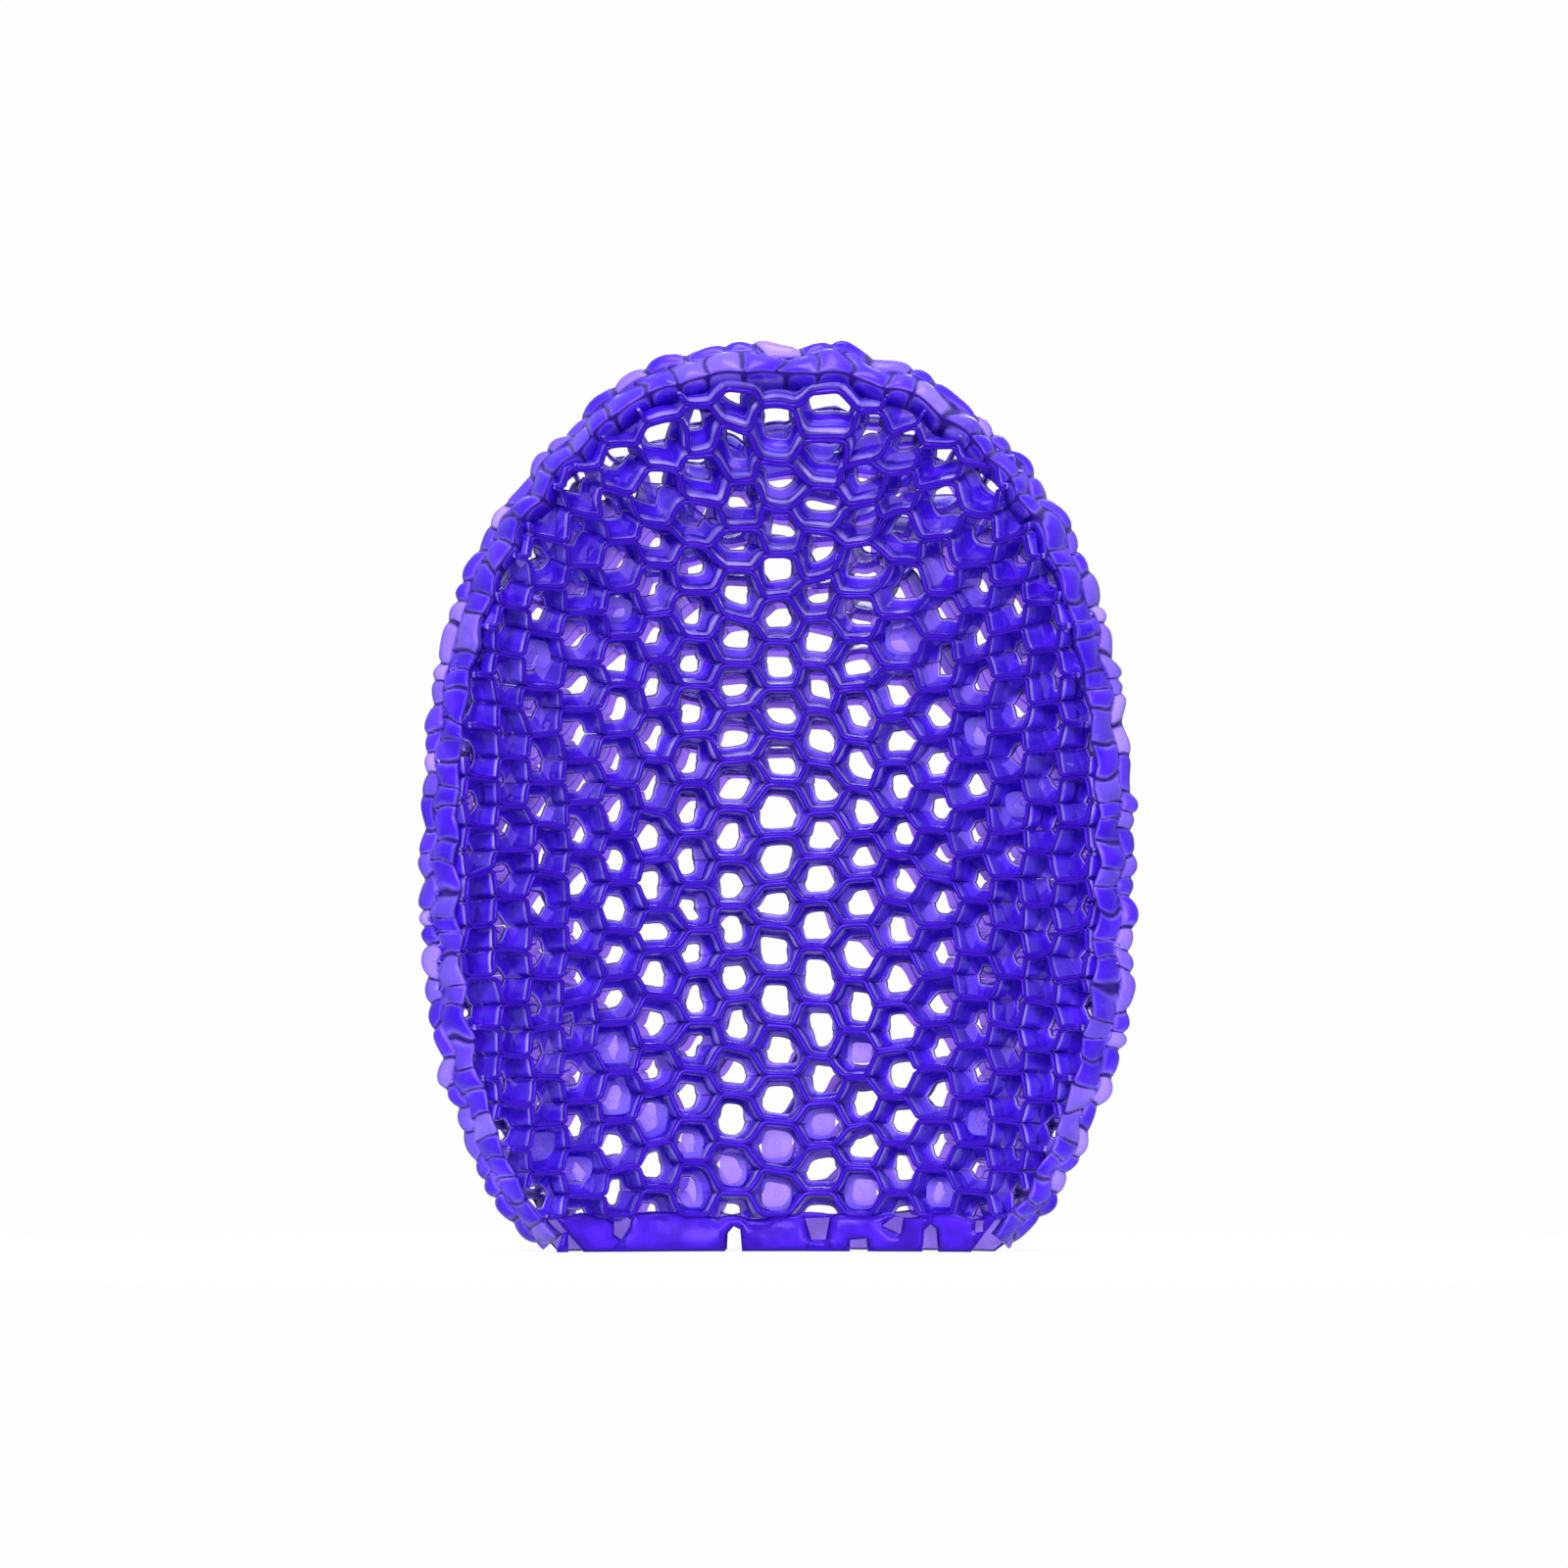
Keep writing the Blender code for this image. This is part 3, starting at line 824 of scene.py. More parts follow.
    def displaced(self, u: np.ndarray, v: np.ndarray) -> tuple[np.ndarray, np.ndarray]:
        """Moves places by the film's unevenness, which is larger towards the crown.

        It is a sum of a slow and a fast wave, calmer at the rim line and level at the hem.

        Args:
            u: places across.
            v: places up.

        Returns:
            The moved places across and up.
        """
        z = self.height(u, v)
        crown = np.clip((z - self.crown_start) / (self.shape.rim_top - self.crown_start), 0, 1)
        calm = np.clip(self.rim_distance(u, v) / self.calm_width, self.calm_share, 1)
        slow = (self.drift + self.crown_drift * crown) * calm
        fast = self.jitter * (1 + self.crown_jitter * crown) * calm
        free = np.clip((v - self.hem_height) / self.calm_mouth, 0, 1)
        drift_u, drift_v = (wavy(u, v, wave, self.seed + use) for wave, use in
                            zip(self.drift_waves, (PanelDraw.DRIFT_ACROSS, PanelDraw.DRIFT_UP)))
        jitter_u, jitter_v = (wavy(u, v, wave, self.seed + use) for wave, use in
                              zip(self.jitter_waves, (PanelDraw.JITTER_ACROSS, PanelDraw.JITTER_UP)))
        moved_v = v + free * (slow * drift_v + fast * jitter_v)
        return u + slow * drift_u + fast * jitter_u, np.clip(moved_v, 0, self.climbs[-1])

    def window(self, centre_u: np.ndarray, number: np.ndarray) -> tuple[np.ndarray, ...]:
        """One cell's window: its half width, half height and shift across and up.

        The windows widen and lower in proportion to the distance from the middle, and a bell
        curve pinches the columns near one place.

        Args:
            centre_u: the cell's middle across.
            number: the cell's row number, in half rows.

        Returns:
            Those four lengths, one of each for every cell.
        """
        column = np.round(centre_u / self.column_pitch).astype(int) + self.window_columns // 2
        stream = np.random.default_rng(self.seed + PanelDraw.WINDOWS)
        draws = stream.uniform(-1, 1, (4, self.window_rows, self.window_columns))
        wide, tall, aside, above = draws[:, number + self.rows_below, column]
        share = np.clip(np.abs(centre_u) / self.narrow_end, 0, 1)
        widening = np.where(centre_u < 0, self.left_widening, self.right_widening)
        pinch = 1 - self.pinch * np.exp(-((centre_u - self.pinch_place) / self.pinch_spread) ** 2)
        half_width = self.window_half_width * (1 + widening * share) * pinch * (1 + self.window_spread * wide)
        half_height = self.window_half_height * (1 - self.lowering * share) * (1 + self.window_spread * tall)
        return half_width, half_height, self.window_shift * aside, self.window_shift * above

    def foot_vectors(self, u: np.ndarray, v: np.ndarray, row: int,
                     upper: bool) -> tuple[np.ndarray, np.ndarray]:
        """How far the foot reaches over the openings above and below a ribbon.

        From a place at r times the window's superellipse, seen from the window's middle, the
        foot reaches inwards to the window's edge. A bonded flat has no foot on its bonded side.

        Args:
            u: places across, from the panel's middle.
            v: places up, from the row's middle.
            row: the row's number.
            upper: whether it is the row's upper ribbon.

        Returns:
            The reach above and the reach below, each n by 2: across and up.
        """
        period = 2 * self.column_pitch
        own_u = np.round(u / period) * period
        other_u = (np.floor(u / period) + 0.5) * period
        way = 1 if upper else -1
        flat_half = (self.cell_side / 2 + self.square_at(u) * self.flat_growth
                     - self.cell_side / self.wall_samples)
        power = self.window_exponent
        reaches = []
        for centre_u, centre_v, number, bonded in (
                (other_u, way * self.cell_pitch / 2, 2 * row + way, np.abs(u - own_u) <= flat_half),
                (own_u, 0.0, 2 * row, np.abs(u - other_u) <= flat_half)):
            half_width, half_height, aside, above = self.window(centre_u, np.full(len(u), number))
            place_u, place_v = u - centre_u - aside, v - centre_v - above
            ratio = (np.abs(place_u / half_width) ** power
                     + np.abs(place_v / half_height) ** power) ** (1 / power)
            inward = np.where(bonded, 0.0, np.maximum(1 - 1 / np.maximum(ratio, TINY), 0))
            reaches.append(-np.stack([place_u, place_v], axis=-1) * inward[:, None])
        return tuple(reaches) if upper else (reaches[1], reaches[0])

    def veils(self, middle: float, row: int) -> list:
        """Thin films left across some cells, most of them near the mouth.

        Each is rings of the window's superellipse on the panel, at a depth that leans with the
        height, and the same rings one thickness further out, joined all round.

        Args:
            middle: place of the row's middle.
            row: the row's number.

        Returns:
            Meshes as points, faces and marks.
        """
        veil = self.veil
        found = []
        draw = np.random.default_rng(self.seed * veil.seed_factor + row)
        turns = np.linspace(0, math.tau, veil.samples, endpoint=False)
        rings = np.array(veil.ring_shares)[:, None]
        power = self.window_exponent
        squared = (np.abs(np.cos(turns)) ** power + np.abs(np.sin(turns)) ** power) ** (-1 / power)
        for column in range(-veil.column_reach, veil.column_reach + 1):
            chance, tilt, tone = draw.uniform(0, 1, 3)
            step_up = self.cell_pitch / 2 * (column % 2)
            near_mouth = math.exp(-max(middle + step_up - self.first_row, 0) / veil.fade)
            if chance > veil.share * (veil.least_share + near_mouth):
                continue
            centre_u = np.array([column * self.column_pitch])
            half_width, half_height, aside, above = self.window(centre_u, np.array([2 * row + column % 2]))
            u = centre_u + aside + half_width * rings * squared * np.cos(turns)
            v = middle + step_up + above + half_height * rings * squared * np.sin(turns)
            if not self.inside(u, v).all():
                continue
            _, _, out = self.tangents(u, v)
            climb = v - middle - step_up
            lean = 0.5 + veil.tilt_share * (2 * tilt - 1) * climb / half_height
            deep = self.depth(u, v) * (veil.front_share + veil.span_share * lean)
            front = self.point(u, v) + out * deep[..., None]
            points = np.concatenate([front, (front + out * veil.thickness)[::-1]]).reshape(-1, 3)
            base = np.arange(2 * len(rings))[:, None] * veil.samples
            here = base + np.arange(veil.samples)
            after = base + (np.arange(veil.samples) + 1) % veil.samples
            faces = np.stack([here, after, np.roll(after, -1, axis=0), np.roll(here, -1, axis=0)],
                             axis=-1).reshape(-1, 4).tolist()
            shade = np.clip(veil.layers + veil.layers_spread * tone
                            - veil.layers_fall * climb / half_height, 0, 1)
            mark = np.full(len(points), veil.mark)
            layers = np.concatenate([shade, shade[::-1]]).ravel()
            found.append((points, faces, {"rim": mark, "crease": mark, "layers": layers}))
        return found

    def ribbon(self, middle: float, row: int, upper: bool) -> tuple[np.ndarray, list, dict] | None:
        """One corrugated ribbon: the film profile carried along the path.

        At each sample the profile spans the path's sideways direction in the panel's surface
        and the panel's outward normal. Its depth follows the panel's depth, less a scallop at
        the corners, and its wall bows sideways by a parabola of the depth share. The foot and
        the ridges add their own reach across and up.

        Args:
            middle: place of the row's middle.
            row: the row's number.
            upper: whether it is the upper ribbon.

        Returns:
            Points, faces and the rim, crease and layers marks, or None if too little is inside.
        """
        u, v, crease, wall = self.corrugation(upper)
        above, below = self.foot_vectors(u, v, row, upper)
        v = v + middle
        run = self.longest_run(u, v)
        if run is None:
            return None
        u, v, crease, wall, above, below = (a[run] for a in (u, v, crease, wall, above, below))
        path_u, path_v = self.displaced(u, v)
        across, up, out = self.tangents(path_u, path_v)
        run_u, run_v = np.gradient(path_u), np.gradient(path_v)
        length = np.hypot(run_u, run_v)
        sideways = across * (-run_v / length)[:, None] + up * (run_u / length)[:, None]
        draw = np.random.default_rng(self.seed * self.seed_factor + int(middle / MM) * 2 + upper)
        bows = draw.uniform(-1, 1, wall.max() + 1)[wall] * self.bow
        bows = bows * np.sin(math.pi * np.clip(crease / self.cell_side * 2, 0, 1) / 2)
        tones = draw.uniform(-self.tone_spread, self.tone_spread, wall.max() + 1)[wall]

        corner = np.clip(1 - crease / (self.scallop_reach_share * self.cell_side), 0, 1) ** 2
        depth = self.depth(path_u, path_v)
        calm = depth / self.shape.panel_depth
        start, end = (self.depth_unevenness * calm * wavy(path_u, path_v, wave, self.seed + use)
                      for wave, use in ((self.near_edge_wave, PanelDraw.NEAR_EDGE),
                                        (self.far_edge_wave, PanelDraw.FAR_EDGE)))
        reach = depth - self.scallop * calm * corner + end
        height = (reach - start)[:, None]

        half = self.profile.half()
        side = np.concatenate([np.ones(len(half)), -np.ones(len(half) - 2)])
        wide, foot_part, share, offset, painted, ridge_part = np.concatenate([half, half[-2:0:-1]]).T
        foot_share = np.clip(self.rim_distance(path_u, path_v) / self.foot_fade, self.least_foot_share, 1)
        foot_share = (foot_share * self.foot_share)[:, None]
        ridge = self.ridge * np.exp(-(path_u / self.ridge_spread) ** 2)[:, None]
        foot = np.where((side > 0)[None, :, None], above[:, None], below[:, None]) * foot_share[..., None]
        foot = foot * (foot_part + ridge * ridge_part)[..., None]
        middle_share = np.exp(-(path_u / self.bead_spread) ** 2)[:, None]
        swelling = np.maximum(wide - self.profile.wall / 2, 0) * (1 - middle_share) * self.side_thinning
        bend = bows[:, None] * 4 * share * (1 - share)
        inward = height * share + offset
        along = start[:, None] + inward if self.side is Side.PALM else reach[:, None] - inward
        points = (self.point(path_u, path_v)[:, None] + out[:, None] * along[..., None]
                  + sideways[:, None] * (side * (wide - swelling) + bend)[..., None]
                  + across[:, None] * foot[..., :1] + up[:, None] * foot[..., 1:])

        faces = tube(*points.shape[:2])
        if self.side is Side.PALM:
            faces = [face[::-1] for face in faces]
        # Rim marks for the bead, the painted shade lines and the painted highlight bands, finer towards the
        # sides.
        seen = np.where(ridge_part > 0, ridge, (painted > 0) * 1.0)
        finer = 1 + self.side_fineness * (1 - middle_share)
        rim = seen * painted + (1 - seen) * inward * finer
        layers = self.front_layers + (self.back_layers - self.front_layers) * np.clip(along / height, 0, 1)
        layers = layers + tones[:, None]
        marks = {"rim": np.clip(rim, 0, None).ravel(), "crease": np.repeat(crease, len(side)),
                 "layers": layers.ravel()}
        return points.reshape(-1, 3), faces, marks

    def build(self) -> list[bpy.types.Object]:
        """Builds every row of the panel, each in place of its packed row.

        Returns:
            The rows.
        """
        pieces = []
        prefix = f"{self.side.value}_cell_row_"
        for node in sorted(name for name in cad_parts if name.startswith(prefix)):
            number = int(node[len(prefix):])
            middle = self.first_row + (number - 1) * self.cell_pitch
            ribbons = [self.ribbon(middle, number, upper) for upper in (True, False)]
            veils = self.veils(middle, number) if self.veil else []
            points, faces, marks = join_meshes([ribbon for ribbon in ribbons if ribbon] + veils)
            piece = new_piece(f"{self.side.value}_film_row_{number:02d}", points, faces)
            dress(piece, self.film, marks)
            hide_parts(node)
            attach(piece, BODY)
            pieces.append(piece)
        return pieces


def tube(rings: int, sides: int, turned: bool = False) -> list:
    """Faces of a closed section carried along a path: quads between neighbouring rings, and two caps.

    Args:
        rings: how many sections there are.
        sides: how many points a section has.
        turned: whether the faces run the other way round, each quad from the same corner.

    Returns:
        Corner numbers of each face.
    """
    base = np.arange(rings - 1)[:, None] * sides
    here = base + np.arange(sides)
    after = base + (np.arange(sides) + 1) % sides
    first_cap, last_cap = list(range(sides)), list(range((rings - 1) * sides, rings * sides))
    if turned:
        quads, caps = (here, after, after + sides, here + sides), [first_cap[::-1], last_cap]
    else:
        quads, caps = (here, here + sides, after + sides, after), [first_cap, last_cap[::-1]]
    return np.stack(quads, axis=-1).reshape(-1, 4).tolist() + caps


def join_meshes(parts: list) -> tuple[np.ndarray, list, dict]:
    """Joins meshes given as points, faces and marks into one.

    Args:
        parts: the meshes.

    Returns:
        All points, all faces with their numbers moved on, and all marks.
    """
    points, faces, marks = [], [], {}
    first = 0
    for part_points, part_faces, part_marks in parts:
        points.append(part_points)
        faces += [[corner + first for corner in face] for face in part_faces]
        for name, values in part_marks.items():
            marks.setdefault(name, []).append(values)
        first += len(part_points)
    return np.concatenate(points), faces, {name: np.concatenate(values) for name, values in marks.items()}


@dataclass
class Hem:
    """A pressed film band along a panel's mouth, with torn notches and cut cell windows.

    The notches and windows are corners across from the middle and up from the mouth. The
    marks are the rim distances that its flat film and its painted shade lines, along its top
    where the cells shade it and round its edges, are painted with.
    """

    panel: HoneycombPanel
    film: bpy.types.Material
    thickness: float
    notches: tuple = ()
    windows: tuple = ()
    layers: float = 0.8
    edge_step: float = 1.2 * MM
    grid_step: float = 2.0 * MM
    end_inset: float = 2.2 * MM
    top_rise: float = 0.9 * MM
    top_wave: float = 9.0 * MM
    front_gap: float = 0.3 * MM
    swell: float = 0.25 * MM
    swell_wave: float = 14.0 * MM
    edge_round: float = 0.5 * MM
    least_round_share: float = 0.12
    top_shade_width: float = 0.8 * MM
    edge_width: float = 0.4 * MM
    shade_line_mark: float = 0.7 * MM
    flat_mark: float = 4.0 * MM

    def outline(self) -> np.ndarray:
        """The band's outline: level underneath but for its notches, wavy on top.

        Returns:
            Corners in u and v.
        """
        base = np.zeros(1)
        reach = self.panel.half_arc(base)[0] - self.end_inset
        wide = self.panel.half_arc(base + self.panel.hem_height)[0] - self.end_inset
        bottom = [(-reach, 0.0)]
        for corners in self.notches:
            bottom += corners
        bottom.append((reach, 0.0))
        u = np.linspace(wide, -wide, math.ceil(2 * wide / self.edge_step))
        waves = wavy(u, u * 0, self.top_wave, self.panel.seed + PanelDraw.HEM_TOP)
        v = self.panel.hem_height + self.top_rise * (0.5 + 0.5 * waves)
        return np.array(bottom + list(zip(u, v)))

    def build(self) -> bpy.types.Object:
        """Fills the outline, less its windows, with triangles and gives it the band's thickness.

        The front face lies on the panel and the back face one thickness behind it, in a
        direction that is level at the foot and square to the panel at the top. Near the
        border the thickness falls by a square root, which rounds the edge.

        Returns:
            The band.
        """
        loops = [densify(self.outline(), self.edge_step)]
        loops += [densify(np.array(window), self.edge_step) for window in self.windows]
        flat, triangles, borders = fill(loops, self.grid_step)
        u, v = flat.T
        _, _, out = self.panel.tangents(u, v)
        out[:, 2] *= np.clip(v / self.panel.hem_height, 0, 1)
        out /= np.linalg.norm(out, axis=-1, keepdims=True)
        swell = self.swell * wavy(u, v, self.swell_wave, self.panel.seed + PanelDraw.HEM_SWELL)
        front = self.panel.point(u, v) + out * (self.front_gap + swell)[:, None]
        edge = border_distance(flat, borders)
        half = self.thickness / 2 * np.sqrt(np.clip(edge / self.edge_round, self.least_round_share, 1))
        middle = front + out * (self.thickness / 2)
        points = np.concatenate([middle - out * half[:, None], middle + out * half[:, None]])
        count = len(flat)
        faces = [[c, b, a] for a, b, c in triangles]
        faces += [[count + a, count + b, count + c] for a, b, c in triangles]
        faces += [[a, b, count + b, count + a] for a, b in borders]
        piece = new_piece(f"{self.panel.side.value}_hem_band", points, faces)
        recalculate(piece)
        # Painted shade: a dark line along the top, where the cells shade the band, and round its edges.
        painted_shade_line = (np.abs(v - self.panel.hem_height) < self.top_shade_width) | (edge < self.edge_width)
        dress(piece, self.film, {"rim": np.tile(np.where(painted_shade_line, self.shade_line_mark, self.flat_mark), 2),
                                 "crease": np.full(2 * count, FAR),
                                 "layers": np.full(2 * count, self.layers)})
        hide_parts(f"{self.panel.side.value}_hem")
        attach(piece, BODY)
        return piece


def densify(loop: np.ndarray, step: float) -> np.ndarray:
    """Adds points along a closed outline, evenly on each edge.

    Args:
        loop: the outline's corners.
        step: the furthest that two points may lie apart.

    Returns:
        The outline with its new points.
    """
    after = np.roll(loop, -1, axis=0)
    counts = np.maximum(np.ceil(np.linalg.norm(after - loop, axis=1) / step).astype(int), 1)
    shares = np.concatenate([np.arange(count) / count for count in counts])
    return np.repeat(loop, counts, axis=0) + np.repeat(after - loop, counts, axis=0) * shares[:, None]


def holds(loop: np.ndarray, places: np.ndarray) -> np.ndarray:
    """Whether places lie inside a closed outline: an odd number of its edges crosses to their right.

    Args:
        loop: the outline's corners.
        places: n by 2 places.

    Returns:
        One truth value for each place.
    """
    after = np.roll(loop, -1, axis=0)
    x, y = places[:, None, 0], places[:, None, 1]
    crosses = (loop[:, 1] > y) != (after[:, 1] > y)
    rise = np.where(after[:, 1] == loop[:, 1], 1.0, after[:, 1] - loop[:, 1])
    at = loop[:, 0] + (y - loop[:, 1]) / rise * (after[:, 0] - loop[:, 0])
    return (np.sum(crosses & (x < at), axis=1) % 2) == 1


def fill(loops: list[np.ndarray], step: float, clear_share: float = 0.45,
         merge_mm: float = 1e-5) -> tuple[np.ndarray, np.ndarray, list]:
    """Fills an outline with holes with triangles on an even grid of points.

    Args:
        loops: the outline, then its holes.
        step: the grid's spacing.
        clear_share: share of the spacing that the grid keeps clear of the outlines.
        merge_mm: the distance, in millimetres, under which points are one.

    Returns:
        Places, triangles and border edges.
    """
    low, high = loops[0].min(axis=0), loops[0].max(axis=0)
    grid_x, grid_y = np.meshgrid(np.arange(low[0], high[0], step), np.arange(low[1], high[1], step))
    grid = np.stack([grid_x.ravel(), grid_y.ravel()], axis=-1)
    border = np.concatenate(loops)
    clear = np.linalg.norm(grid[:, None] - border, axis=-1).min(axis=1) > step * clear_share
    edges = []
    first = 0
    for loop in loops:
        count = len(loop)
        edges += [(first + i, first + (i + 1) % count) for i in range(count)]
        first += count
    places = [Vector(p) for p in np.concatenate([border, grid[clear]]) / MM]
    found, _, faces, *_ = delaunay_2d_cdt(places, edges, [], 0, merge_mm)
    flat = np.array([tuple(p) for p in found]) * MM
    triangles = np.array(faces)
    middles = flat[triangles].mean(axis=1)
    kept = holds(loops[0], middles)
    for loop in loops[1:]:
        kept &= ~holds(loop, middles)
    triangles = triangles[kept]
    sides = np.concatenate([triangles[:, [0, 1]], triangles[:, [1, 2]], triangles[:, [2, 0]]])
    known = {tuple(side) for side in sides.tolist()}
    borders = [side for side in known if (side[1], side[0]) not in known]
    used, numbers = np.unique(triangles, return_inverse=True)
    moved = {int(old): new for new, old in enumerate(used)}
    borders = [(moved[a], moved[b]) for a, b in sorted(borders)]
    return flat[used], numbers.reshape(-1, 3), borders


def border_distance(flat: np.ndarray, borders: list) -> np.ndarray:
    """Distance from each place to the nearest border point."""
    edge = flat[np.unique(np.array(borders))]
    return np.linalg.norm(flat[:, None] - edge, axis=-1).min(axis=1)


def recalculate(piece: bpy.types.Object) -> None:
    """Turns a closed mesh's faces to point outwards.

    Args:
        piece: the mesh object.
    """
    work = bmesh.new()
    work.from_mesh(piece.data)
    bmesh.ops.recalc_face_normals(work, faces=work.faces)
    work.to_mesh(piece.data)
    work.free()


@dataclass
class RimWeld:
    """The fused edge of both panels: a strip of cut cells, each a small film pillow, along the rim line.

    Lengths named wave are in pillows, and tones are a least value and a span of the film's
    layers, for the front column and for the others.
    """

    shape: MittShape
    film: bpy.types.Material
    step: float = 0.45 * MM
    line_samples: int = 600
    start_height: float = 3.4 * MM
    wall: float = 0.4 * MM
    recess: float = 0.6 * MM
    front_zigzag: float = 1.6 * MM
    crown_lift: float = 1.3 * MM
    unevenness: float = 0.3 * MM
    uneven_wave: float = 2.7
    uneven_end_share: float = 0.8
    column_edges: tuple = (0.0, 0.62, 1.0)
    column_shift: float = 0.06
    column_wave: float = 1.9
    column_stagger: float = 0.5
    wander: float = 0.16
    wander_wave: float = 3.5
    slant: float = 0.12
    slant_wave: float = 3.0
    slant_turn: float = 3.0
    pillow: float = 1.7 * MM
    pillow_power: float = 0.5
    pillow_range: tuple = (0.4, 1.0)
    front_tones: tuple = (0.3, 0.6)
    other_tones: tuple = (0.15, 0.5)
    apron_tone_share: float = 0.9
    side_length: float = 4.76 * MM
    crown_length: float = 6.6 * MM
    scallop: float = 1.8 * MM
    apron: float = 2.6 * MM
    crown_apron: float = 3.2 * MM
    apron_drop: float = 3.6 * MM
    apron_shares: tuple = (1.0, 0.5)
    depth: float = 11.4 * MM
    groove_slack: float = 0.15 * MM
    # Rim mark that lays a painted highlight fringe beside each groove, and how much wider the grooves'
    # painted shade is at the crown.
    highlight_fringe_mark: float = 1.9 * MM
    crown_groove_shade: float = 0.5
    across_samples: int = 25
    seed: int = 71

    def rim_line(self) -> np.ndarray:
        """The rim line from the mouth over the crown and back, at even steps.

        Its heights are even below the widest row, and above it a sine's power, which keeps
        the samples close where the line turns over the crown.

        Returns:
            n by 3 places.
        """
        shape = self.shape
        turn = np.linspace(0, 1, self.line_samples)
        low = np.linspace(self.start_height, shape.widest_height, self.line_samples, endpoint=False)
        curved = shape.widest_height + shape.upper_radius * np.sin(
            turn * math.pi / 2) ** (2 / shape.upper_exponent)
        z = np.minimum(np.concatenate([low, curved]), shape.rim_top - TINY)
        x = shape.half_width(z)
        x[-1] = 0
        right = np.stack([x, shape.rim_plane + shape.sweep_at(z), z], axis=-1)
        line = np.concatenate([right * (-1, 1, 1), right[-2::-1]])
        run = np.concatenate([[0], np.cumsum(np.linalg.norm(np.diff(line, axis=0), axis=1))])
        places = np.linspace(0, run[-1], int(run[-1] / self.step))
        return np.stack([np.interp(places, run, line[:, axis]) for axis in range(3)], axis=-1)

    def directions(self, line: np.ndarray, along: np.ndarray) -> tuple[np.ndarray, np.ndarray]:
        """Directions of the strip at each station: the palm panel's normal at the rim, and square to it.

        The panel's tilt joins its slope to the side, from its level arc, and its slope to the
        crown, from the derivative of the cup's depth.

        Args:
            line: the rim line.
            along: the unit direction along it.

        Returns:
            Unit directions across the strip and out of it.
        """
        shape = self.shape
        half, rise, _ = shape.section(Side.PALM, line[:, 2])
        side_slope = np.tan(2 * np.arctan(rise / half))
        crown_slope = (shape.crown_exponent * shape.cup_depth / (shape.rim_top - shape.floor_height)
                       * np.clip(shape.crown_share(line[:, 2]), 0, 1) ** (shape.crown_exponent - 1))
        flat = np.stack([-along[:, 2], np.zeros(len(line)), along[:, 0]], axis=-1)
        flat /= np.linalg.norm(flat, axis=-1, keepdims=True)
        tilt = np.arctan(np.hypot(side_slope * flat[:, 0], crown_slope * flat[:, 2]))[:, None]
        back = np.array([0.0, 1.0, 0.0])
        return flat * np.sin(tilt) + back * np.cos(tilt), flat * np.cos(tilt) - back * np.sin(tilt)

    def wave(self, phase: np.ndarray, length: float, use: RimDraw) -> np.ndarray:
        """Seeded unevenness along the strip, with a mean wave length in pillows."""
        return wavy(phase, phase * 0, length, self.seed + use)

    def pillows(self, phase: np.ndarray, length: np.ndarray, share: np.ndarray) -> tuple[np.ndarray, ...]:
        """Swells the strip into columns of pillows, each column stepped half a pillow from the last.

        A pillow's height is the product of the half sines of its two shares, to a power.

        Args:
            phase: distance along the strip, in pillows.
            length: a pillow's length at each station.
            share: share of the way across the strip.

        Returns:
            The swell, the distance to the nearest groove, the film's layers and each pillow's bulge along.
        """
        edges = np.array(self.column_edges)
        shift = self.column_shift * np.sin(share * math.pi)
        moved = share + shift * self.wave(phase, self.column_wave, RimDraw.COLUMN_WAVE)[:, None]
        column = np.clip(np.searchsorted(edges, moved, side="right") - 1, 0, len(edges) - 2)
        widths = np.diff(edges)[column]
        across = np.clip((moved - edges[column]) / widths, 0, 1)
        slanted = wavy(phase[:, None] + 0 * share, share * self.slant_turn, self.slant_wave,
                       self.seed + RimDraw.SLANT)
        place = (phase[:, None] + self.column_stagger * column
                 + self.wander * self.wave(phase, self.wander_wave, RimDraw.WANDER)[:, None]
                 + self.slant * slanted)
        number = np.floor(place).astype(int) + 1
        along = place - np.floor(place)
        draw = np.random.default_rng(self.seed + RimDraw.PILLOWS)
        count = (number.max() + 2, len(edges))
        heights = draw.uniform(*self.pillow_range, count)[number, column]
        tones = draw.uniform(0.0, 1.0, count)[number, column]
        tones = np.where(column > 0, self.other_tones[0] + self.other_tones[1] * tones,
                         self.front_tones[0] + self.front_tones[1] * tones)
        bulge = np.sin(along * math.pi) ** self.pillow_power
        swell = self.pillow * heights * bulge * np.sin(across * math.pi) ** self.pillow_power
        groove = np.minimum(np.minimum(along, 1 - along) * length[:, None],
                            np.minimum(across, 1 - across) * widths * self.depth + self.groove_slack)
        return swell, groove, tones, heights * bulge

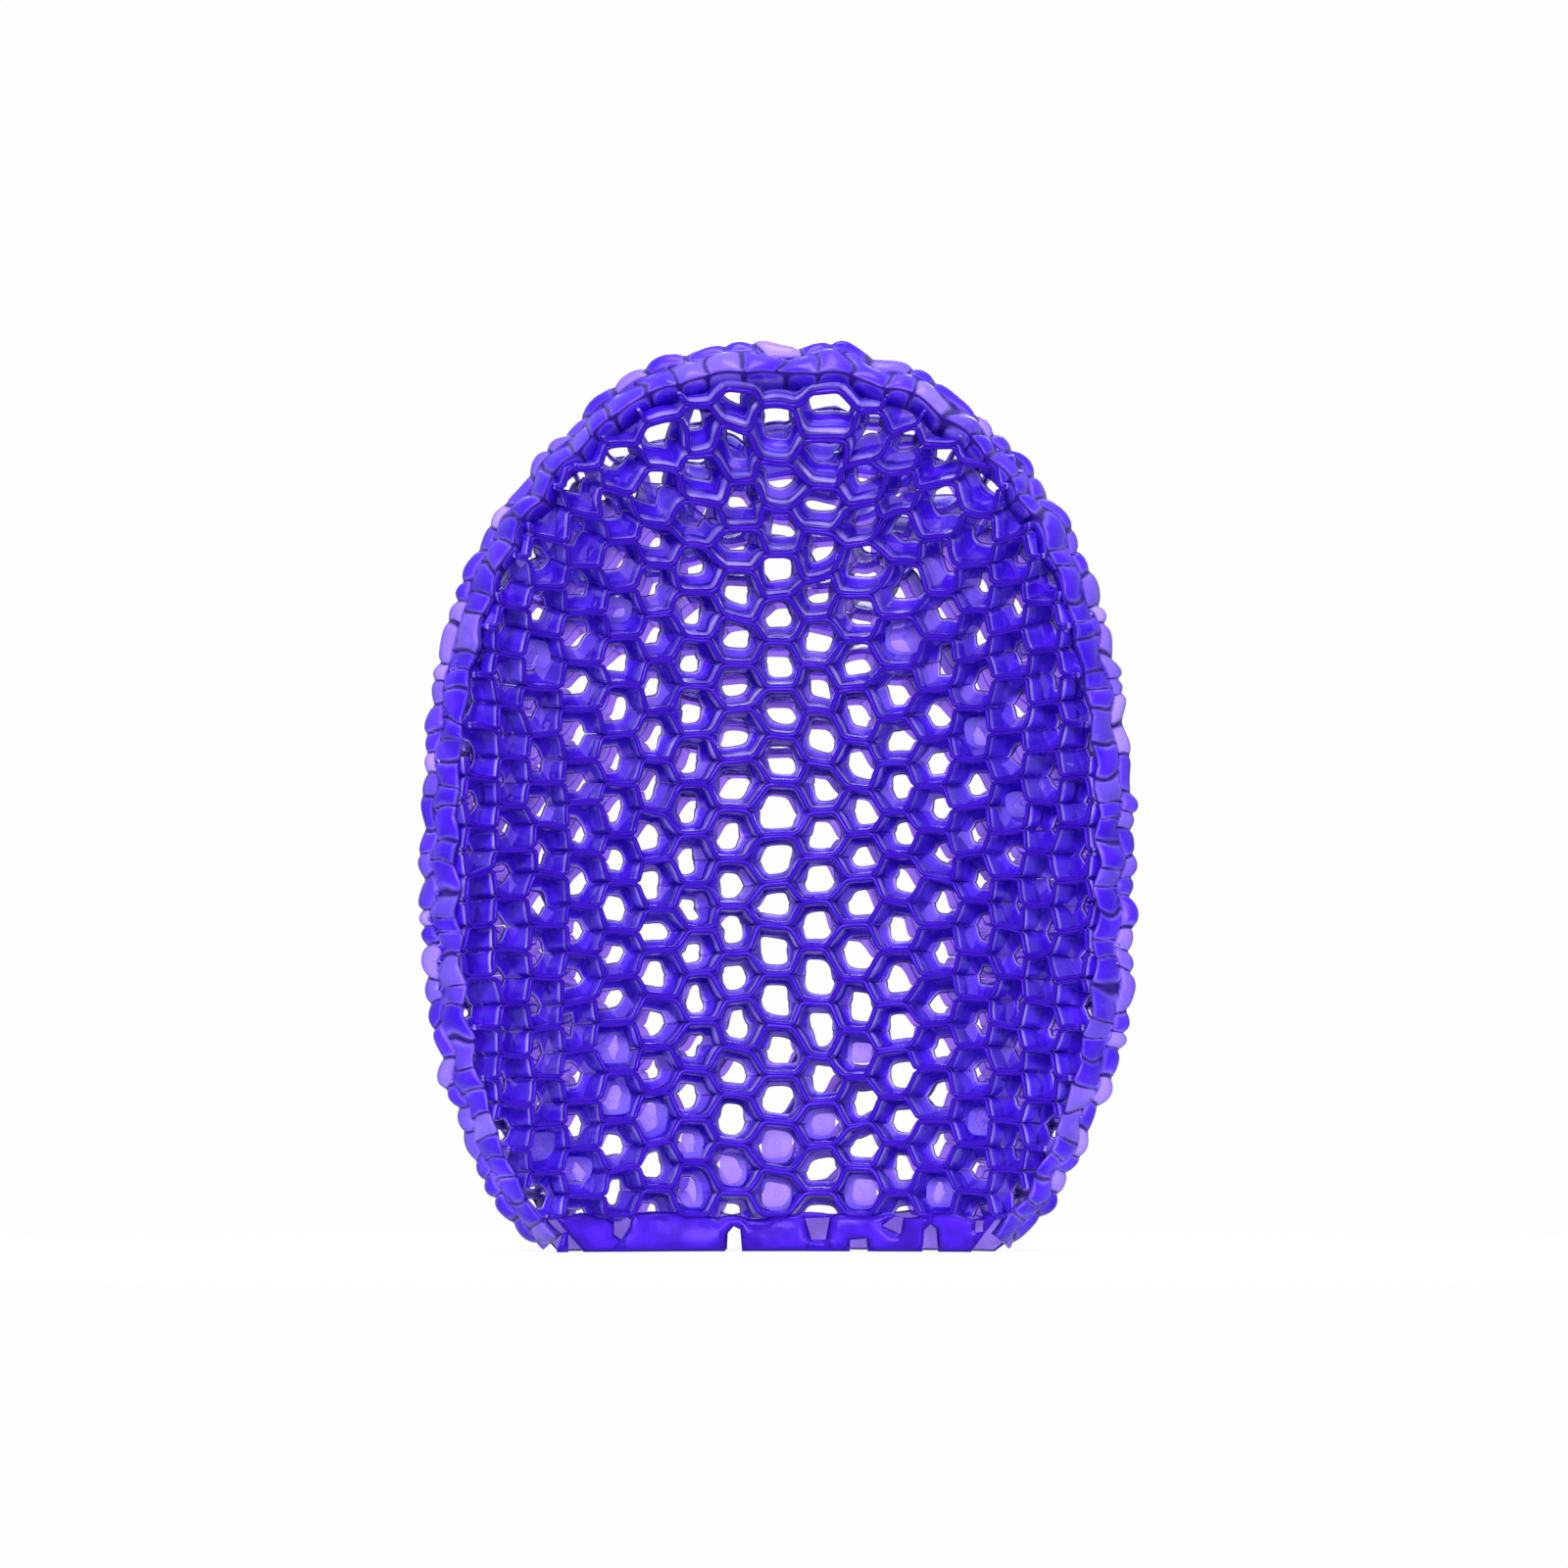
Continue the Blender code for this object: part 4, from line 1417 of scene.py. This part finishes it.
    def surface(self, line: np.ndarray, along: np.ndarray, phase: np.ndarray,
                length: np.ndarray) -> tuple[np.ndarray, np.ndarray, dict]:
        """The strip's outer face, after a short apron that closes the cut cells.

        Its front edge zigzags by a triangle wave, its far edge is scalloped by the cube of the
        share across, and it is lifted towards the crown by the cube of the crown share. The
        apron widens, and the painted shade in the grooves is drawn wider, by the crown share's
        square. The rim marks lay a painted highlight fringe beside each groove.

        Args:
            line: the rim line.
            along: the unit direction along it.
            phase: distance along the strip, in pillows.
            length: a pillow's length at each station.

        Returns:
            The places, the directions out of the strip, and the marks.
        """
        across, outward = self.directions(line, along)
        crown = np.clip(self.shape.crown_share(line[:, 2]), 0, 1)
        share = np.linspace(0, 1, self.across_samples)
        swell, groove, tone, bulge = self.pillows(phase, length, share)
        uneven = self.unevenness * self.wave(phase, self.uneven_wave, RimDraw.LIFT)
        lift = self.crown_lift * crown ** 3
        zigzag = 2 * np.abs(phase / 2 - np.floor(phase / 2) - 0.5)
        recess = self.recess + self.front_zigzag * zigzag
        end = self.depth + self.uneven_end_share * uneven + lift - recess
        deep = recess[:, None] + end[:, None] * share + self.scallop * (bulge - 0.5) * share ** 3
        lip = swell + (uneven + lift)[:, None]
        leaning = line + np.outer(self.shape.lean_at(line[:, 2]), (1, 0, 0))
        outer = leaning[:, None] + across[:, None] * deep[..., None] + outward[:, None] * lip[..., None]
        fold = np.array(self.apron_shares)[:, None]
        apron = (self.apron + self.crown_apron * crown ** 2)[:, None, None]
        apron = outer[:, :1] + across[:, None] * fold * self.apron_drop - outward[:, None] * fold * apron

        first_column = np.full(len(fold), self.column_edges[1] / 2)
        _, apron_groove, apron_tone, _ = self.pillows(phase, length, first_column)
        groove = np.concatenate([apron_groove, groove], axis=1)
        # Painted shade in the grooves, with a painted highlight fringe beside them.
        marks = {"rim": self.highlight_fringe_mark + groove,
                 "crease": groove / (1 + self.crown_groove_shade * crown ** 2)[:, None],
                 "layers": np.concatenate([self.apron_tone_share * apron_tone, tone], axis=1)}
        return np.concatenate([apron, outer], axis=1), outward, marks

    def build(self) -> bpy.types.Object:
        """Carries a thin strip of pillows along the rim line.

        Its outer face swells outwards between the grooves, and its inner face lies one wall
        inside it, along the outer face's normal.

        Returns:
            The strip.
        """
        line = self.rim_line()
        along = np.gradient(line, axis=0)
        along /= np.linalg.norm(along, axis=-1, keepdims=True)
        length = self.side_length + (self.crown_length - self.side_length) * along[:, 0] ** 2
        phase = np.cumsum(self.step / length)
        outer, outward, marks = self.surface(line, along, phase, length)
        normal = np.cross(np.gradient(outer, axis=1), np.gradient(outer, axis=0))
        normal /= np.maximum(np.linalg.norm(normal, axis=-1, keepdims=True), TINY ** 2)
        first_plain = len(self.apron_shares) + 1
        normal *= np.sign(np.sum(normal[:, first_plain:] * outward[:, None], axis=(0, 1, 2)))
        ring = np.concatenate([outer, (outer - normal * self.wall)[:, ::-1]], axis=1)
        faces = tube(*ring.shape[:2], turned=True)
        piece = new_piece("rim_weld_film", ring.reshape(-1, 3), faces)
        recalculate(piece)
        dress(piece, self.film, {name: np.concatenate([values, values[:, ::-1]], axis=1).ravel()
                                 for name, values in marks.items()})
        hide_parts("rim_weld_bead")
        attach(piece, BODY)
        return piece


@dataclass
class Studio:
    """White sweep, soft even light and the photograph's camera.

    A lamp is a name, a place, the side of its square and its power in watts.
    """

    white: str = "#FEFEFE"
    card: str = "#F4F4F4"
    sensor: float = 36.0
    view_height: float = 0.3053
    distance: float = 1.0
    elevation: float = -4.0
    picture: int = 1600
    mitt_column: int = 793
    mitt_row: int = 812
    world_strength: float = 0.5
    card_fade: float = 0.06
    card_end: float = 0.30
    card_glow: float = 0.9
    aim: tuple = (0.0, 0.0, 0.09)
    lamps: tuple = (("key_softbox", (-0.22, -1.05, 0.42), 0.25, 12.5),
                    ("fill_softbox", (0.30, -1.05, 0.16), 0.25, 6.0),
                    ("top_softbox", (0.0, -0.15, 0.95), 0.4, 7.0),
                    ("back_softbox", (0.0, 0.9, 0.5), 0.6, 6.0))

    def either(self, tree: bpy.types.NodeTree, first: bpy.types.NodeSocket,
               second: bpy.types.NodeSocket) -> bpy.types.NodeSocket:
        """The larger of two values."""
        return add_node(tree, "Math", {0: first, 1: second}, operation="MAXIMUM").outputs[0]

    def backdrop(self) -> None:
        """A white world that lights evenly, and reads as paper white to the camera."""
        world = bpy.data.worlds.new("paper_white")
        bpy.context.scene.world = world
        world.use_nodes = True
        tree = world.node_tree
        tree.nodes.clear()
        path = add_node(tree, "LightPath").outputs
        seen = self.either(tree, path["Is Camera Ray"], path["Is Glossy Ray"])
        seen = self.either(tree, seen, path["Is Transmission Ray"])
        lit = add_node(tree, "Background", {"Color": (1, 1, 1, 1), "Strength": self.world_strength})
        paper = add_node(tree, "Background", {"Color": linear(self.white), "Strength": 1.0})
        both = add_node(tree, "MixShader", {0: seen, 1: lit.outputs[0], 2: paper.outputs[0]})
        add_node(tree, "OutputWorld", {"Surface": both.outputs[0]})

    def floor(self) -> None:
        """A pale card under the mitt that keeps its soft shadow and fades into the white sweep."""
        points = np.array([(-1, -1, 0), (1, -1, 0), (1, 1, 0), (-1, 1, 0)]) * self.card_end
        floor = new_piece("studio_floor", points, [[0, 1, 2, 3]], smooth=False)
        material = bpy.data.materials.new("matt_white_card")
        material.use_nodes = True
        tree = material.node_tree
        tree.nodes.clear()
        path = add_node(tree, "LightPath").outputs
        seen = self.either(tree, path["Is Camera Ray"], path["Is Glossy Ray"])
        share = add_node(tree, "Math", {0: seen, 1: self.card_glow}, operation="MULTIPLY")
        card = add_node(tree, "BsdfDiffuse", {"Color": linear(self.card)})
        glow = add_node(tree, "Emission", {"Color": linear(self.white), "Strength": 1.0})
        both = add_node(tree, "MixShader", {0: share.outputs[0], 1: card.outputs[0], 2: glow.outputs[0]})
        place = add_node(tree, "TexCoord").outputs["Object"]
        away = add_node(tree, "VectorMath", {0: place}, operation="LENGTH")
        fade = add_node(tree, "MapRange", {"Value": away.outputs["Value"], "From Min": self.card_fade,
                                           "From Max": self.card_end}, interpolation_type="SMOOTHSTEP")
        clear = add_node(tree, "BsdfTransparent")
        faded = add_node(tree, "MixShader", {0: fade.outputs[0], 1: both.outputs[0], 2: clear.outputs[0]})
        add_node(tree, "OutputMaterial", {"Surface": faded.outputs[0]})
        floor.data.materials.append(material)

    def lamp(self, name: str, place: tuple, size: float, power: float) -> None:
        """Adds one square soft box that points at the mitt.

        Args:
            name: the lamp's name.
            place: where it hangs.
            size: its side.
            power: its power in watts.
        """
        light = bpy.data.lights.new(name, "AREA")
        light.shape = "SQUARE"
        light.size = size
        light.energy = power
        lamp = bpy.data.objects.new(name, light)
        bpy.context.scene.collection.objects.link(lamp)
        lamp.location = place
        lamp.rotation_euler = (Vector(self.aim) - Vector(place)).to_track_quat("-Z", "Y").to_euler()

    def camera(self) -> None:
        """The photograph's camera: level with the mitt, from slightly below, with a small shift."""
        data = bpy.data.cameras.new("photo_camera")
        data.sensor_width = self.sensor
        data.lens = data.sensor_width * self.distance / self.view_height
        data.shift_x = (self.picture / 2 - self.mitt_column) / self.picture
        data.shift_y = (self.mitt_row - self.picture / 2) / self.picture
        camera = bpy.data.objects.new("photo_camera", data)
        bpy.context.scene.collection.objects.link(camera)
        target = Vector((0, MittShape().rim_plane, (cad_low.z + cad_high.z) / 2))
        tilt = math.radians(self.elevation)
        camera.location = target + Vector((0, -math.cos(tilt), math.sin(tilt))) * self.distance
        camera.rotation_euler = (target - camera.location).to_track_quat("-Z", "Y").to_euler()
        bpy.context.scene.camera = camera

    def build(self) -> None:
        """Sets up the backdrop, floor, lamps, camera and view."""
        self.backdrop()
        self.floor()
        for lamp in self.lamps:
            self.lamp(*lamp)
        self.camera()
        bpy.context.scene.view_settings.view_transform = "Standard"


def millimetres(*loops: tuple) -> tuple:
    """Turns outlines given in millimetres to metres."""
    return tuple(tuple((x * MM, z * MM) for x, z in loop) for loop in loops)


# The palm hem's torn notches and cut windows: corners across from the middle and up from the mouth.
NOTCHES = millimetres(
    ((-44.8, 0), (-44.0, 2.6), (-43.6, 4.3), (-42.7, 4.0), (-42.4, 0)),
    ((-10.2, 0), (-10.0, 3.4), (-8.6, 5.0), (-7.3, 4.4), (-6.9, 0)),
    ((14.3, 0), (14.4, 2.3), (17.6, 2.6), (17.9, 0)),
    ((28.9, 0), (29.3, 4.3), (30.9, 5.6), (32.0, 4.6), (32.3, 0)))
WINDOWS = millimetres(
    ((-32.8, 7.0), (-32.9, 3.6), (-31.2, 2.4), (-29.5, 5.0), (-29.0, 7.0)),
    ((5.5, 6.6), (6.8, 2.4), (9.6, 2.4), (10.4, 6.8)),
    ((20.9, 5.2), (24.6, 3.5), (25.2, 6.9), (23.2, 7.0)),
    ((39.9, 4.0), (42.0, 4.2), (42.2, 6.4), (40.2, 6.4)))


def main() -> None:
    """Builds the studio, the panels, the hems and the weld, and reports each piece."""
    logging.basicConfig(level=logging.INFO, format="%(message)s")
    log.info("CAD box %s %s", tuple(cad_low), tuple(cad_high))
    Studio().build()
    shape = MittShape()
    profile = FilmProfile()
    # The palm panel's film faces the light: deep violet faces, with painted highlight bands beside their
    # painted shade grooves.
    palm_film = FilmFinish("palm_polyurethane_film", thin_cover=0.15).material()
    # The back panel's film is seen through the palm panel's windows: clearer, and painted pale on its side
    # towards the palm, painted light that lifts the shade inside the mitt.
    back_film = FilmFinish("back_polyurethane_film", thin_cover=0.12, thin="#C8AEFF",
                           tint="#CDB0FF").material()
    # The palm hem is pressed to one dense sheet, so it is dark and has no painted highlight bands.
    weld_film = FilmFinish("pressed_polyurethane_film", face="#2E1099", soft="#4119C4", least_painted_highlight=0.0,
                           glow="#2E1099").material()
    # The rim's cut cells are small cushions of film, painted darker than the rows as a painted shade that
    # evens out the strip's fuller light; their fine grooves carry painted shade and a painted highlight
    # fringe.
    pillow_film = FilmFinish("rim_polyurethane_film", face="#3412B8", soft="#4720D4", thin_cover=0.5,
                             groove="#1C0668", glow="#A486FC", least_painted_highlight=0.35,
                             crease_shade_width=0.5 * MM).material()
    palm = HoneycombPanel(Side.PALM, shape, profile, palm_film, seed=11, edge_depth=8.0 * MM,
                          crush_width=14.0 * MM, rim_margin=0.2 * MM, veil=Veil())
    # Front layers of 0 paint the back panel's side towards the palm pale: painted light.
    back = HoneycombPanel(Side.BACK, shape, profile.plain(), back_film, seed=47, edge_depth=1.6 * MM,
                          crush_width=16.0 * MM, rim_margin=2.4 * MM, drift=0.6 * MM, foot_share=0.35,
                          ridge=0.0, squareness=0.0, front_layers=0.0, back_layers=0.9)
    pieces = [*palm.build(), *back.build(),
              Hem(palm, weld_film, 1.3 * MM, NOTCHES, WINDOWS).build(),
              Hem(back, palm_film, 1.0 * MM, NOTCHES[1:2], layers=0.22).build(),
              RimWeld(shape, pillow_film).build()]
    for piece in pieces:
        log.info("%s: %d faces", piece.name, len(piece.data.polygons))


if __name__ == "__main__":
    main()
    bpy.context.view_layer.update()
